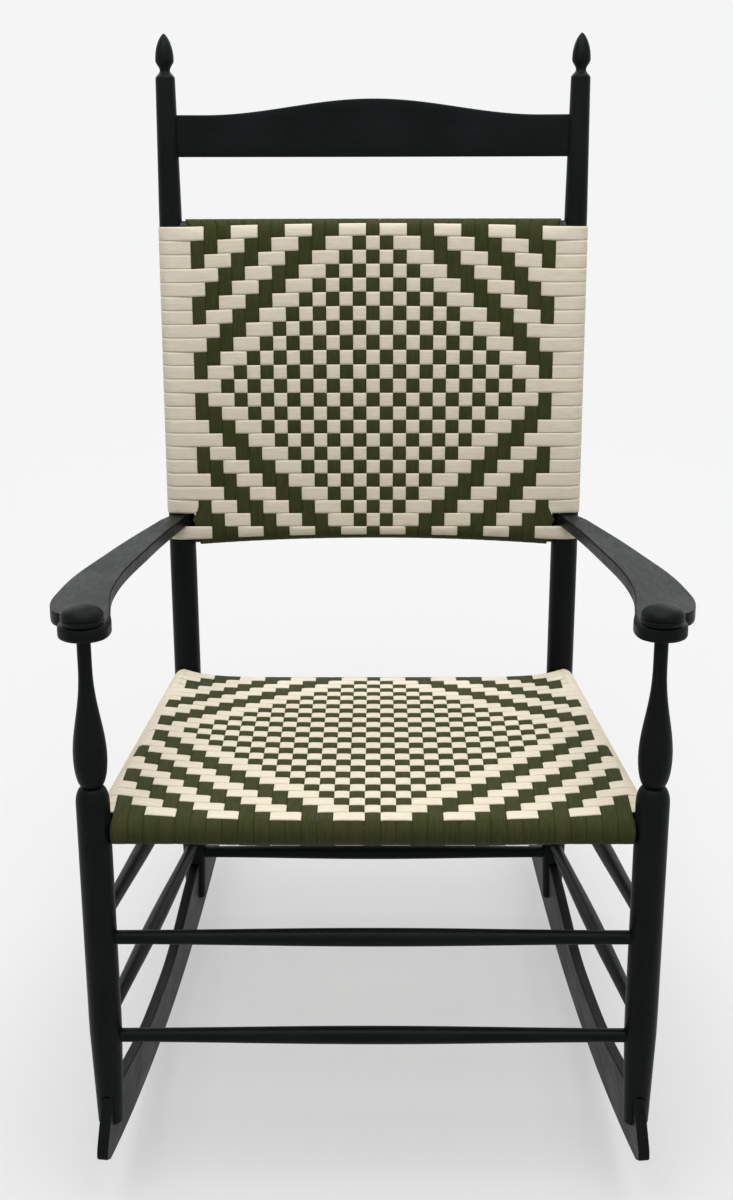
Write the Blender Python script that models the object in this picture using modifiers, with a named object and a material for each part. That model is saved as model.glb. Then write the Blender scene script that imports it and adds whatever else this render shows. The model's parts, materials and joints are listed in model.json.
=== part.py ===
"""Shaker rocking chair: a turned frame on two rockers, with a woven tape seat and back.

The frame is laid out in the chair's own axes, where the front posts stand upright and
heights are measured from the low point of the rockers' soles. The chair empty then
leans that frame back to the pose in which the empty chair rests on the floor.
X runs to the sitter's left, Y to the back and Z up.
"""

import math

import bmesh
import bpy
from mathutils import Matrix, Vector

MM = 0.001
DEG = math.pi / 180
GAP = 0.3 * MM  # clearance between pieces that touch

# Frame
FRONT_SPREAD = 560.6 * MM  # between the front post axes
BACK_SPREAD = 470.6 * MM  # between the back post axes at seat height
SEAT_DEPTH = 474.0 * MM  # from the front post axes to the back post axes at seat height
SEAT_HEIGHT = 390.0 * MM  # above the low point of the soles
BACK_LEAN = 5.0 * DEG  # lean of the back posts from the front posts
BACK_SPLAY = 0.6 * DEG  # outward splay of each back post
REST_TILT = 11.1 * DEG  # backward lean of the whole chair when it rests empty

# Front posts
FRONT_POST_RADIUS = 17.1 * MM
FRONT_FOOT_RADIUS = 13.2 * MM
FRONT_FOOT_HEIGHT = 41.0 * MM
FRONT_TAPER_HEIGHT = 150.0 * MM  # where the foot's taper starts
FRONT_SHOULDER_RISE = 22.5 * MM  # top of the plain post above the seat's height
VASE_WAIST_RISE = 40.5 * MM
VASE_WAIST_RADIUS = 9.0 * MM
VASE_BELLY_RISE = 73.0 * MM
VASE_BELLY_RADIUS = 17.0 * MM
NECK_RADIUS = 7.0 * MM  # neck under the arm, which runs on as the tenon through it
NECK_LENGTH = 25.6 * MM  # straight stretch of the neck under the arm
VASE_SKEW = 1.2  # above 1, the neck stays slim for longer before it swells

# Back posts, with levels along the leaning axis from the seat's height
BACK_POST_RADIUS = 16.35 * MM
BACK_FOOT_RADIUS = 12.2 * MM
BACK_FOOT_HEIGHT = 69.2 * MM
BACK_TAPER_HEIGHT = 175.8 * MM  # where the foot's taper starts
BACK_UPPER_LEVEL = 130.0 * MM  # where the upper taper starts
BACK_SLIM_RADIUS = 13.4 * MM
BACK_SLIM_LEVEL = 552.0 * MM
BACK_TOP_RADIUS = 11.4 * MM
BACK_TOP_LEVEL = 701.5 * MM  # shoulder under the finial
FINIAL_NECK_RADIUS = 6.0 * MM
FINIAL_NECK_RISE = 9.0 * MM
FINIAL_BELLY_RADIUS = 10.8 * MM
FINIAL_BELLY_RISE = 20.5 * MM
FINIAL_RISE = 50.5 * MM
FINIAL_TAPER = 1.45  # above 1, the finial's tip is blunter

# Rungs
TENON_RADIUS = 5.75 * MM
TENON_PAST_AXIS = 2.0 * MM  # how far a tenon reaches past the axis of its post
TENON_WALL = 1.5 * MM  # wood between the crossing tenons of the seat rungs
RUNG_END_RADIUS = 7.3 * MM
RUNG_MIDDLE_RADIUS = 9.6 * MM
SEAT_RUNG_RADIUS = 12.0 * MM
BACK_RUNG_RADIUS = 8.0 * MM
UPPER_FRONT_RUNG_HEIGHT = 260.0 * MM
LOWER_FRONT_RUNG_HEIGHT = 144.0 * MM
UPPER_SIDE_RUNG_FRONT = 276.0 * MM
UPPER_SIDE_RUNG_BACK = 248.0 * MM
LOWER_SIDE_RUNG_FRONT = 160.0 * MM
LOWER_SIDE_RUNG_BACK = 141.0 * MM
LOWER_BACK_RUNG_HEIGHT = 126.0 * MM
SEAT_FRONT_RUNG_DROP = 9.0 * MM  # below the seat's height
SEAT_BACK_RUNG_DROP = 40.0 * MM
SEAT_CORNER_STEP = 5.5 * MM  # by which the side rungs' back ends stand higher than they need to
PANEL_TOP_RUNG_LEVEL = 531.0 * MM
PANEL_BOTTOM_RUNG_LEVEL = 156.5 * MM

# Crest slat, with levels along the back's lean
SLAT_DROP = 89.0 * MM  # of the slat's lower edge under the shoulders of the back posts
SLAT_END_HEIGHT = 48.0 * MM
SLAT_ARCH = 19.0 * MM  # rise of the ogee arch at the middle
SLAT_ARCH_REACH = 200.0 * MM  # from the middle to where the arch runs out
SLAT_BOW = 20.0 * MM  # how far the middle is bent backwards
SLAT_THICKNESS = 7.5 * MM
SLAT_PIN_RADIUS = 2.0 * MM
PIN_RECESS = 0.6 * MM  # of a pin's ends under the surface of its post

# Arms, drawn in plan from the front post's axis
ARM_THICKNESS = 15.5 * MM
ARM_RISE = 196.5 * MM  # underside at the front post above the seat's height
ARM_SLOPE = 3.05 * DEG  # fall towards the back
ARM_EDGE = 2.6 * MM  # rounding of the arm's edges
ARM_LOBE_RADIUS = 25.0 * MM
ARM_LOBE_OFFSET = 5.0 * MM  # of the lobe's centre behind the post
ARM_NOTCH_ANGLE = 11.5 * DEG  # round the lobe to the notch where the ear starts
ARM_EAR_REACH = 39.0 * MM  # outward from the post to the ear's corner
ARM_EAR_SETBACK = 34.0 * MM
ARM_EAR_ROUND = 5.0 * MM
ARM_SWELL_REACH = 44.5 * MM
ARM_SWELL_SETBACK = 128.0 * MM
ARM_WAIST_INSET = 10.0 * MM  # inward from the post to the waist of the inner edge
ARM_WAIST_SETBACK = 138.0 * MM
ARM_NECK_INSET = 20.0 * MM  # inner edge behind the lobe
ARM_NECK_SETBACK = 45.0 * MM
ARM_OUTER_BULGE = 5.7 * MM  # of the outer edge halfway from the swell to the heel
ARM_INNER_BULGE = 4.2 * MM
ARM_INNER_SETBACK = 34.0 * MM  # of the inner bulge behind the outer one
ARM_HEEL_STEP = 13.6 * MM  # outward from the tail's edge to the heel's corner
ARM_HEEL_LENGTH = 42.0 * MM  # from the heel's corner to the back post
ARM_TAIL_WIDTH = 17.0 * MM
ARM_TENON_RADIUS = 6.3 * MM
ARM_TENON_LENGTH = 33.6 * MM  # from its root inside the arm to the back post's axis
ARM_TENON_PAST_AXIS = 3.0 * MM
ARM_PIN_RADIUS = 2.5 * MM
CAP_RADIUS = 21.5 * MM
CAP_RIM = 7.0 * MM
CAP_DOME = 12.5 * MM
CAP_SOCKET = 9.0 * MM  # how far the post's tenon stands into the cap

# Rockers, measured along the sole
SOLE_RADIUS = 1350.0 * MM
SOLE_LOW_POINT = 125.0 * MM  # behind the front posts when these stand upright
SOLE_FACET = 46.0 * MM  # length of each flat of the sole, and of the one it rests on
ROCKER_THICKNESS = 12.0 * MM
ROCKER_DEPTH = 54.0 * MM
ROCKER_FRONT_RISE = 13.0 * MM  # extra depth at the front post
ROCKER_BACK_RISE = 24.0 * MM  # extra depth at the back post
ROCKER_RISE_REACH = 190.0 * MM
NOSE_REACH = 38.0 * MM
NOSE_SETBACK = 17.0 * MM  # from the post's axis to where the nose starts to fall
NOSE_DEPTH = 17.0 * MM  # of the nose's upper corner above the sole's arc
NOSE_LIFT = 7.0 * MM  # of its lower corner
NOSE_ROUND = 14.0 * MM  # from the nose back to where the sole starts
TAIL_REACH = 245.0 * MM  # behind the back post
TAIL_ROUND = 16.0 * MM
TAIL_DEPTH = 40.5 * MM
TAIL_FALL = 54.0 * MM  # stretch over which the top edge falls to the round tail
TOP_FACET = 31.0 * MM
SLOT_OVERRUN = 6.0 * MM  # of the posts' slots past the sole
ROCKER_PIN_RADIUS = 3.0 * MM

# Woven tape and the foam under it
TAPE_WIDTH = 15.9 * MM
TAPE_THICKNESS = 1.2 * MM
WEAVE_GAP = 0.6 * MM  # between the warp, the weft and the foam
SEAT_CROWN = 10.5 * MM  # swell of the padded seat between its rungs
SEAT_CROWN_POWER = 8  # how squarely the crown meets the side rungs
PANEL_ROW_REACH = 1.2 * MM  # of the outermost weft rows past the panel rungs' axes
PANEL_ROLL = 28.0 * MM  # stretch over which the warp narrows to its rungs
ARM_ROW_CLEARANCE = 2.4 * MM  # round each arm, where the weft turns back before the post
TACK_HEAD_RADIUS = 3.2 * MM
TACK_CROWN_RADIUS = 2.2 * MM
TACK_HEAD = 1.2 * MM
TACK_SHANK_RADIUS = 0.9 * MM
TACK_LENGTH = 8.0 * MM
TACK_SPACING = 60.0 * MM

# Facets
POST_STEPS = 18
RUNG_STEPS = 12
PIN_STEPS = 8
ROLL_STEPS = 8
CURVE_STEPS = 4  # of a short turned curve
DOME_STEPS = 5
NECK_STEPS = 7
TAIL_STEPS = 6
SEAT_COLUMNS = 8
SEAT_ROWS = 6
SLAT_COLUMNS = 20
EDGE_ANGLE = 60 * DEG  # edges sharper than this are rounded
MERGE = 0.01 * MM

# Heights above the low point of the soles that follow from the sizes above
SEAT_FRONT_RUNG_HEIGHT = SEAT_HEIGHT - SEAT_FRONT_RUNG_DROP
SEAT_BACK_RUNG_HEIGHT = SEAT_HEIGHT - SEAT_BACK_RUNG_DROP
SEAT_SIDE_RUNG_FRONT = SEAT_FRONT_RUNG_HEIGHT - 2 * TENON_RADIUS - TENON_WALL
SEAT_SIDE_RUNG_BACK = SEAT_BACK_RUNG_HEIGHT + 2 * TENON_RADIUS + TENON_WALL + SEAT_CORNER_STEP
SLAT_BOTTOM_LEVEL = BACK_TOP_LEVEL - SLAT_DROP
ARM_HEIGHT = SEAT_HEIGHT + ARM_RISE

SIDES = {"left": 1, "right": -1}
BLACK_PAINT = ("black_paint", (0.012, 0.016, 0.019), 0.42)
GREEN_TAPE = ("green_tape", (0.035, 0.045, 0.018), 0.9)
CREAM_TAPE = ("cream_tape", (0.62, 0.56, 0.45), 0.9)
FOAM = ("foam", (0.75, 0.68, 0.48), 0.95)
BARE_WOOD = ("bare_wood", (0.45, 0.27, 0.13), 0.6)
STEEL = ("steel", (0.35, 0.35, 0.36), 0.4, 1.0)

BACK_FRAME = Matrix.Translation((0, SEAT_DEPTH, SEAT_HEIGHT)) @ Matrix.Rotation(-BACK_LEAN, 4, "X")
SOLE_CENTRE = SOLE_RADIUS * math.cos(SOLE_FACET / SOLE_RADIUS / 2)  # height above the rest flat
CHAIR_FRAME = Matrix.Translation(
    (0, 0, SOLE_CENTRE + SOLE_LOW_POINT * math.sin(REST_TILT) - SOLE_RADIUS * math.cos(REST_TILT))
) @ Matrix.Rotation(-REST_TILT, 4, "X")


def clear_scene():
    for obj in list(bpy.data.objects):
        bpy.data.objects.remove(obj, do_unlink=True)


def new_collection(name):
    collection = bpy.data.collections.new(name)
    bpy.context.scene.collection.children.link(collection)
    return collection


def new_empty(name, matrix, parent=None):
    empty = bpy.data.objects.new(name, None)
    parts.objects.link(empty)
    empty.parent = parent
    empty.matrix_local = matrix
    return empty


def material(name, colour, roughness, metallic=0.0):
    found = bpy.data.materials.get(name)
    if found:
        return found
    made = bpy.data.materials.new(name)
    made.use_nodes = True
    shader = made.node_tree.nodes["Principled BSDF"]
    shader.inputs["Base Color"].default_value = (*colour, 1)
    shader.inputs["Roughness"].default_value = roughness
    shader.inputs["Metallic"].default_value = metallic
    return made


def add_part(name, mesh, finish, parent, matrix=Matrix()):
    obj = bpy.data.objects.new(name, mesh)
    parts.objects.link(obj)
    obj.parent = parent
    obj.matrix_local = matrix
    mesh.materials.append(material(*finish))
    return obj


def add_cutter(name, mesh, parent, matrix=Matrix()):
    obj = bpy.data.objects.new(name, mesh)
    cutters.objects.link(obj)
    obj.parent = parent
    obj.matrix_local = matrix
    obj.hide_render = True
    obj.display_type = "WIRE"
    return obj


def combine(obj, operation, operands):
    """Cuts the operands from the object, or joins them to it."""
    group = bpy.data.collections.new(f"{obj.name}_{operation.lower()}")
    cutters.children.link(group)
    for operand in operands:
        group.objects.link(operand)
    boolean = obj.modifiers.new(operation.lower(), "BOOLEAN")
    boolean.operation = operation
    boolean.solver = "EXACT"
    boolean.operand_type = "COLLECTION"
    boolean.collection = group


def mesh_from(build):
    bm = bmesh.new()
    build(bm)
    mesh = bpy.data.meshes.new("mesh")
    bm.to_mesh(mesh)
    bm.free()
    return mesh


def along(start, end):
    """Matrix that puts local Z on the line from start to end, with the origin at start."""
    turn = (end - start).to_track_quat("Z", "Y").to_matrix().to_4x4()
    return Matrix.Translation(start) @ turn


def ease(fraction):
    return 0.5 - 0.5 * math.cos(math.pi * fraction)


def sweep(start, end, count, skew=1.0):
    """Points (radius, height) of a smooth turned stretch, without its first point."""
    points = []
    for i in range(1, count + 1):
        t = i / count
        radius = start[0] + (end[0] - start[0]) * ease(t**skew)
        points.append((radius, start[1] + (end[1] - start[1]) * t))
    return points


def bead(start, end, count):
    """Points (radius, height) of a quarter ellipse that ends in a groove, without its first point."""
    points = []
    for i in range(1, count + 1):
        angle = i / count * math.pi / 2
        radius = end[0] + (start[0] - end[0]) * math.cos(angle)
        points.append((radius, start[1] + (end[1] - start[1]) * math.sin(angle)))
    return points


def turned(name, profile, finish, parent, matrix, steps):
    """A turned piece from (radius, height) points that run down its outer side."""
    mesh = bpy.data.meshes.new(name)
    points = [(radius, 0, height) for radius, height in profile]
    mesh.from_pydata(points, [(i, i + 1) for i in range(len(points) - 1)], [])
    obj = add_part(name, mesh, finish, parent, matrix)
    screw = obj.modifiers.new("turn", "SCREW")
    screw.steps = steps
    screw.render_steps = steps
    screw.use_merge_vertices = True
    screw.merge_threshold = MERGE
    screw.use_smooth_shade = True
    return obj


def rod_profile(radius, length):
    return [(0, length), (radius, length), (radius, 0), (0, 0)]


def rod_cutter(name, radius, start, end, parent, steps=RUNG_STEPS):
    length = (end - start).length

    def build(bm):
        bmesh.ops.create_cone(
            bm,
            cap_ends=True,
            segments=steps,
            radius1=radius,
            radius2=radius,
            depth=length,
            matrix=Matrix.Translation((0, 0, length / 2)),
        )

    return add_cutter(name, mesh_from(build), parent, along(start, end))


def box_cutter(name, low, high, parent):
    size = high - low

    def build(bm):
        placed = Matrix.Translation((low + high) / 2) @ Matrix.Diagonal((*size, 1))
        bmesh.ops.create_cube(bm, size=1, matrix=placed)

    return add_cutter(name, mesh_from(build), parent)


def plate(name, splines_of, thickness):
    """Mesh of a flat outline in the XY plane, extruded evenly to both sides."""
    curve = bpy.data.curves.new(name, "CURVE")
    curve.dimensions = "2D"
    curve.fill_mode = "BOTH"
    curve.extrude = thickness / 2
    splines_of(curve)
    guide = bpy.data.objects.new(name, curve)
    parts.objects.link(guide)
    evaluated = guide.evaluated_get(bpy.context.evaluated_depsgraph_get())
    mesh = bpy.data.meshes.new_from_object(evaluated)
    bpy.data.objects.remove(guide)
    bm = bmesh.new()
    bm.from_mesh(mesh)
    bmesh.ops.remove_doubles(bm, verts=bm.verts, dist=MERGE)
    bmesh.ops.recalc_face_normals(bm, faces=bm.faces)
    bm.to_mesh(mesh)
    bm.free()
    return mesh


def mapped_grid(columns, rows, place, closed=False):
    """Mesh of a grid whose (u, v), each from 0 to 1, is placed by the function."""

    def build(bm):
        bmesh.ops.create_grid(bm, x_segments=columns, y_segments=rows, size=0.5)
        for vert in bm.verts:
            vert.co = place(vert.co.x + 0.5, vert.co.y + 0.5)
        if closed:
            bmesh.ops.remove_doubles(bm, verts=bm.verts, dist=MERGE)
            face_outwards(bm)

    return mesh_from(build)


def face_outwards(bm):
    """Turns the faces of a tube away from its middle."""
    bm.normal_update()
    middle = sum((vert.co for vert in bm.verts), Vector()) / len(bm.verts)
    outward = 0
    for face in bm.faces:
        outward += (face.calc_center_median() - middle).dot(face.normal) * face.calc_area()
    if outward < 0:
        bmesh.ops.reverse_faces(bm, faces=bm.faces)


def solidify(obj, thickness, offset):
    shell = obj.modifiers.new("thickness", "SOLIDIFY")
    shell.thickness = thickness
    shell.offset = offset
    shell.use_even_offset = True


def split_alike(obj):
    """Splits bent faces along their shorter diagonal, so that layers keep an even gap."""
    split = obj.modifiers.new("triangles", "TRIANGULATE")
    split.quad_method = "SHORTEST_DIAGONAL"


def front_axis(side, height):
    return Vector((side * FRONT_SPREAD / 2, 0, height))


def level_of(height):
    """Distance along the back's lean of a height in the chair's axes."""
    return (height - SEAT_HEIGHT) / math.cos(BACK_LEAN)


def half_spread(level):
    return BACK_SPREAD / 2 + level * math.tan(BACK_SPLAY)


def back_axis(side, level):
    return BACK_FRAME @ Vector((side * half_spread(level), 0, level))


def front_direction(side):
    return front_axis(side, 1) - front_axis(side, 0)


def back_direction(side):
    return (back_axis(side, 1) - back_axis(side, 0)).normalized()


def front_radius(height):
    """Radius of the plain part of a front post."""
    t = (height - FRONT_FOOT_HEIGHT) / (FRONT_TAPER_HEIGHT - FRONT_FOOT_HEIGHT)
    return FRONT_FOOT_RADIUS + (FRONT_POST_RADIUS - FRONT_FOOT_RADIUS) * min(1, max(0, t))


def back_radius(level):
    """Radius of a back post below its finial."""
    stations = (
        (level_of(BACK_FOOT_HEIGHT), BACK_FOOT_RADIUS),
        (level_of(BACK_TAPER_HEIGHT), BACK_POST_RADIUS),
        (BACK_UPPER_LEVEL, BACK_POST_RADIUS),
        (BACK_SLIM_LEVEL, BACK_SLIM_RADIUS),
        (BACK_TOP_LEVEL, BACK_TOP_RADIUS),
    )
    for (low, first), (high, last) in zip(stations, stations[1:]):
        if level <= high:
            t = max(0, (level - low) / (high - low))
            return first + (last - first) * t
    return BACK_TOP_RADIUS


def front_joint(side, height):
    """A point on a front post's axis, the axis's direction and the post's radius there."""
    return front_axis(side, height), front_direction(side), front_radius(height)


def back_joint(side, level):
    return back_axis(side, level), back_direction(side), back_radius(level)


def arm_top():
    return ARM_HEIGHT + ARM_THICKNESS / math.cos(ARM_SLOPE)


def make_front_post(name, side):
    neck = (NECK_RADIUS, ARM_HEIGHT - NECK_LENGTH)
    belly = (VASE_BELLY_RADIUS, SEAT_HEIGHT + VASE_BELLY_RISE)
    waist = (VASE_WAIST_RADIUS, SEAT_HEIGHT + VASE_WAIST_RISE)
    shoulder = (FRONT_POST_RADIUS, SEAT_HEIGHT + FRONT_SHOULDER_RISE)
    tip = arm_top() + CAP_SOCKET
    profile = [(0, tip), (NECK_RADIUS, tip), neck]
    profile += sweep(neck, belly, NECK_STEPS, VASE_SKEW)
    profile += bead(belly, waist, CURVE_STEPS)
    profile += bead(shoulder, waist, CURVE_STEPS)[-2::-1] + [shoulder]
    profile += [
        (FRONT_POST_RADIUS, FRONT_TAPER_HEIGHT),
        (FRONT_FOOT_RADIUS, FRONT_FOOT_HEIGHT),
        (0, FRONT_FOOT_HEIGHT),
    ]
    placed = Matrix.Translation(front_axis(side, 0))
    return turned(name, profile, BLACK_PAINT, chair, placed, POST_STEPS)


def make_back_post(name, side):
    shoulder = (BACK_TOP_RADIUS, BACK_TOP_LEVEL)
    neck = (FINIAL_NECK_RADIUS, BACK_TOP_LEVEL + FINIAL_NECK_RISE)
    belly = (FINIAL_BELLY_RADIUS, BACK_TOP_LEVEL + FINIAL_BELLY_RISE)
    tip = BACK_TOP_LEVEL + FINIAL_RISE
    profile = [(0, tip)]
    for i in range(1, DOME_STEPS + 1):
        t = i / DOME_STEPS
        radius = FINIAL_BELLY_RADIUS * math.sin(t * math.pi / 2)
        profile.append((radius, tip + (belly[1] - tip) * t**FINIAL_TAPER))
    profile += sweep(belly, neck, CURVE_STEPS)
    profile += sweep(neck, shoulder, CURVE_STEPS)
    foot = level_of(BACK_FOOT_HEIGHT)
    for level in (BACK_SLIM_LEVEL, BACK_UPPER_LEVEL, level_of(BACK_TAPER_HEIGHT), foot):
        profile.append((back_radius(level), level))
    profile.append((0, foot))
    placed = BACK_FRAME @ Matrix.Translation((side * BACK_SPREAD / 2, 0, 0))
    splay = Matrix.Rotation(side * BACK_SPLAY, 4, "Y")
    return turned(name, profile, BLACK_PAINT, chair, placed @ splay, POST_STEPS)


def make_rung(name, joints, finish, end_radius, middle_radius):
    """A rung between two posts, and its mortise cutter.

    Each joint is a point on a post's axis, the axis's direction and the post's radius there.
    """
    (start, start_axis, start_radius), (end, end_axis, end_post_radius) = joints
    direction = (end - start).normalized()
    tip = start - direction * TENON_PAST_AXIS
    far_tip = end + direction * TENON_PAST_AXIS
    length = (far_tip - tip).length
    first = TENON_PAST_AXIS + start_radius + GAP + end_radius * abs(direction.dot(start_axis))
    last = length - TENON_PAST_AXIS - end_post_radius - GAP - end_radius * abs(direction.dot(end_axis))
    middle = (first + last) / 2
    profile = [(0, length), (TENON_RADIUS, length), (TENON_RADIUS, last), (end_radius, last)]
    if middle_radius > end_radius:
        profile += sweep((end_radius, last), (middle_radius, middle), 3)
        profile += sweep((middle_radius, middle), (end_radius, first), 3)
    else:
        profile.append((end_radius, first))
    profile += [(TENON_RADIUS, first), (TENON_RADIUS, 0), (0, 0)]
    rung = turned(name, profile, finish, chair, along(tip, far_tip), RUNG_STEPS)
    slack = direction * GAP
    cutter = rod_cutter(f"{name}_mortise", TENON_RADIUS + GAP, tip - slack, far_tip + slack, chair)
    return rung, cutter


def make_cross_rungs():
    """Rungs from left to right: a name, a height, the posts they join and their form."""
    cuts = {"front": [], "back": []}
    stretchers = (
        ("front_rung_upper", "front", UPPER_FRONT_RUNG_HEIGHT),
        ("front_rung_lower", "front", LOWER_FRONT_RUNG_HEIGHT),
        ("back_rung_lower", "back", level_of(LOWER_BACK_RUNG_HEIGHT)),
    )
    hidden = (
        ("seat_rung_front", "front", SEAT_FRONT_RUNG_HEIGHT, SEAT_RUNG_RADIUS),
        ("seat_rung_back", "back", level_of(SEAT_BACK_RUNG_HEIGHT), SEAT_RUNG_RADIUS),
        ("panel_rung_top", "back", PANEL_TOP_RUNG_LEVEL, BACK_RUNG_RADIUS),
        ("panel_rung_bottom", "back", PANEL_BOTTOM_RUNG_LEVEL, BACK_RUNG_RADIUS),
    )
    joint = {"front": front_joint, "back": back_joint}
    for name, where, level in stretchers:
        joints = (joint[where](-1, level), joint[where](1, level))
        _, cutter = make_rung(name, joints, BLACK_PAINT, RUNG_END_RADIUS, RUNG_MIDDLE_RADIUS)
        cuts[where].append(cutter)
    rungs = {}
    for name, where, level, body in hidden:
        joints = (joint[where](-1, level), joint[where](1, level))
        rungs[name], cutter = make_rung(name, joints, BARE_WOOD, body, body)
        cuts[where].append(cutter)
    return cuts, rungs


def make_side_rungs(side_name, side):
    heights = (
        ("side_rung_upper", UPPER_SIDE_RUNG_FRONT, UPPER_SIDE_RUNG_BACK),
        ("side_rung_lower", LOWER_SIDE_RUNG_FRONT, LOWER_SIDE_RUNG_BACK),
        ("seat_rung", SEAT_SIDE_RUNG_FRONT, SEAT_SIDE_RUNG_BACK),
    )
    made = {}
    cuts = []
    for name, front, back in heights:
        joints = (front_joint(side, front), back_joint(side, level_of(back)))
        forms = (BLACK_PAINT, RUNG_END_RADIUS, RUNG_MIDDLE_RADIUS)
        if name == "seat_rung":
            forms = (BARE_WOOD, SEAT_RUNG_RADIUS, SEAT_RUNG_RADIUS)
        made[name], cutter = make_rung(f"{name}_{side_name}", joints, *forms)
        cuts.append(cutter)
    return made["seat_rung"], cuts


def slat_mesh(grow):
    """The bent slat's middle surface, grown all round by a clearance."""
    low = SLAT_BOTTOM_LEVEL - grow
    reach = half_spread(SLAT_BOTTOM_LEVEL) + TENON_PAST_AXIS + grow

    def place(u, v):
        x = reach * (2 * u - 1)
        arch = SLAT_ARCH * ease(max(0, 1 - abs(x) / SLAT_ARCH_REACH))
        height = SLAT_END_HEIGHT + arch + 2 * grow
        bow = SLAT_BOW * (1 - (x / half_spread(SLAT_BOTTOM_LEVEL)) ** 2)
        return Vector((x, bow, low + height * v))

    return mapped_grid(SLAT_COLUMNS, 2, place)


def make_slat():
    slat = add_part("crest_slat", slat_mesh(0), BLACK_PAINT, chair, BACK_FRAME)
    solidify(slat, SLAT_THICKNESS, 0)
    mortise = add_cutter("crest_slat_mortise", slat_mesh(GAP), chair, BACK_FRAME)
    solidify(mortise, SLAT_THICKNESS + 2 * GAP, 0)
    return slat, mortise


def make_slat_pin(side_name, side):
    level = SLAT_BOTTOM_LEVEL + SLAT_END_HEIGHT / 2
    reach = Vector((0, back_radius(level) - PIN_RECESS, 0))
    centre = Vector((side * half_spread(level), 0, level))
    ends = (BACK_FRAME @ (centre - reach), BACK_FRAME @ (centre + reach))
    profile = rod_profile(SLAT_PIN_RADIUS, 2 * reach.y)
    turned(f"slat_pin_{side_name}", profile, BLACK_PAINT, chair, along(*ends), PIN_STEPS)
    far = (BACK_FRAME @ (centre - 2 * reach), BACK_FRAME @ (centre + 2 * reach))
    return rod_cutter(f"slat_pin_hole_{side_name}", SLAT_PIN_RADIUS + GAP, *far, chair, PIN_STEPS)


def arm_frame(side):
    """The arm's middle plane, with the origin where the front post's axis meets it."""
    middle = ARM_HEIGHT + ARM_THICKNESS / math.cos(ARM_SLOPE) / 2
    return Matrix.Translation(front_axis(side, middle)) @ Matrix.Rotation(-ARM_SLOPE, 4, "X")


def arm_tail(side):
    """Where the arm's middle line meets the back post's axis, in the arm's frame."""
    to_arm = arm_frame(side).inverted()
    low = to_arm @ back_axis(side, 0)
    high = to_arm @ back_axis(side, SEAT_HEIGHT)
    return low.lerp(high, low.z / (low.z - high.z))


def arm_outline(curve, side):
    """Plan of an arm: round lobe at the front, ear, long swell, heel, tail and waist."""
    tail = arm_tail(side)
    tail_x = side * tail.x
    slant = ARM_THICKNESS / 2 * math.tan(BACK_LEAN + ARM_SLOPE)
    tail_y = tail.y - back_radius(level_of(ARM_HEIGHT)) - slant - GAP
    heel_y = tail.y - ARM_HEEL_LENGTH
    middle_y = (heel_y + ARM_SWELL_SETBACK) / 2
    lobe_y = ARM_LOBE_OFFSET
    lobe = ARM_LOBE_RADIUS
    half_tail = ARM_TAIL_WIDTH / 2
    notch = (lobe * math.cos(ARM_NOTCH_ANGLE), lobe_y + lobe * math.sin(ARM_NOTCH_ANGLE))
    diagonal = lobe * math.sqrt(0.5)
    heel_x = tail_x + half_tail + ARM_HEEL_STEP
    outer_x = (ARM_SWELL_REACH + heel_x) / 2 + ARM_OUTER_BULGE
    inner_x = (tail_x - half_tail - ARM_WAIST_INSET) / 2 + ARM_INNER_BULGE
    outline = [
        (0, lobe_y - lobe, "AUTO"),
        (diagonal, lobe_y - diagonal, "AUTO"),
        (*notch, "VECTOR"),
        (ARM_EAR_REACH - ARM_EAR_ROUND, ARM_EAR_SETBACK - ARM_EAR_ROUND, "AUTO"),
        (ARM_EAR_REACH, ARM_EAR_SETBACK + ARM_EAR_ROUND, "AUTO"),
        (ARM_SWELL_REACH, ARM_SWELL_SETBACK, "AUTO"),
        (outer_x, middle_y, "AUTO"),
        (heel_x, heel_y, "VECTOR"),
        (tail_x + half_tail, tail_y, "VECTOR"),
        (tail_x - half_tail, tail_y, "VECTOR"),
        (inner_x, middle_y + ARM_INNER_SETBACK, "AUTO"),
        (-ARM_WAIST_INSET, ARM_WAIST_SETBACK, "AUTO"),
        (-ARM_NECK_INSET, ARM_NECK_SETBACK, "AUTO"),
        (-lobe, lobe_y, "AUTO"),
        (-diagonal, lobe_y - diagonal, "AUTO"),
    ]
    spline = curve.splines.new("BEZIER")
    spline.use_cyclic_u = True
    spline.resolution_u = 3
    spline.bezier_points.add(len(outline) - 1)
    for point, (x, y, handle) in zip(spline.bezier_points, outline):
        point.co = (side * x, y, 0)
        point.handle_left_type = handle
        point.handle_right_type = handle


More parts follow.
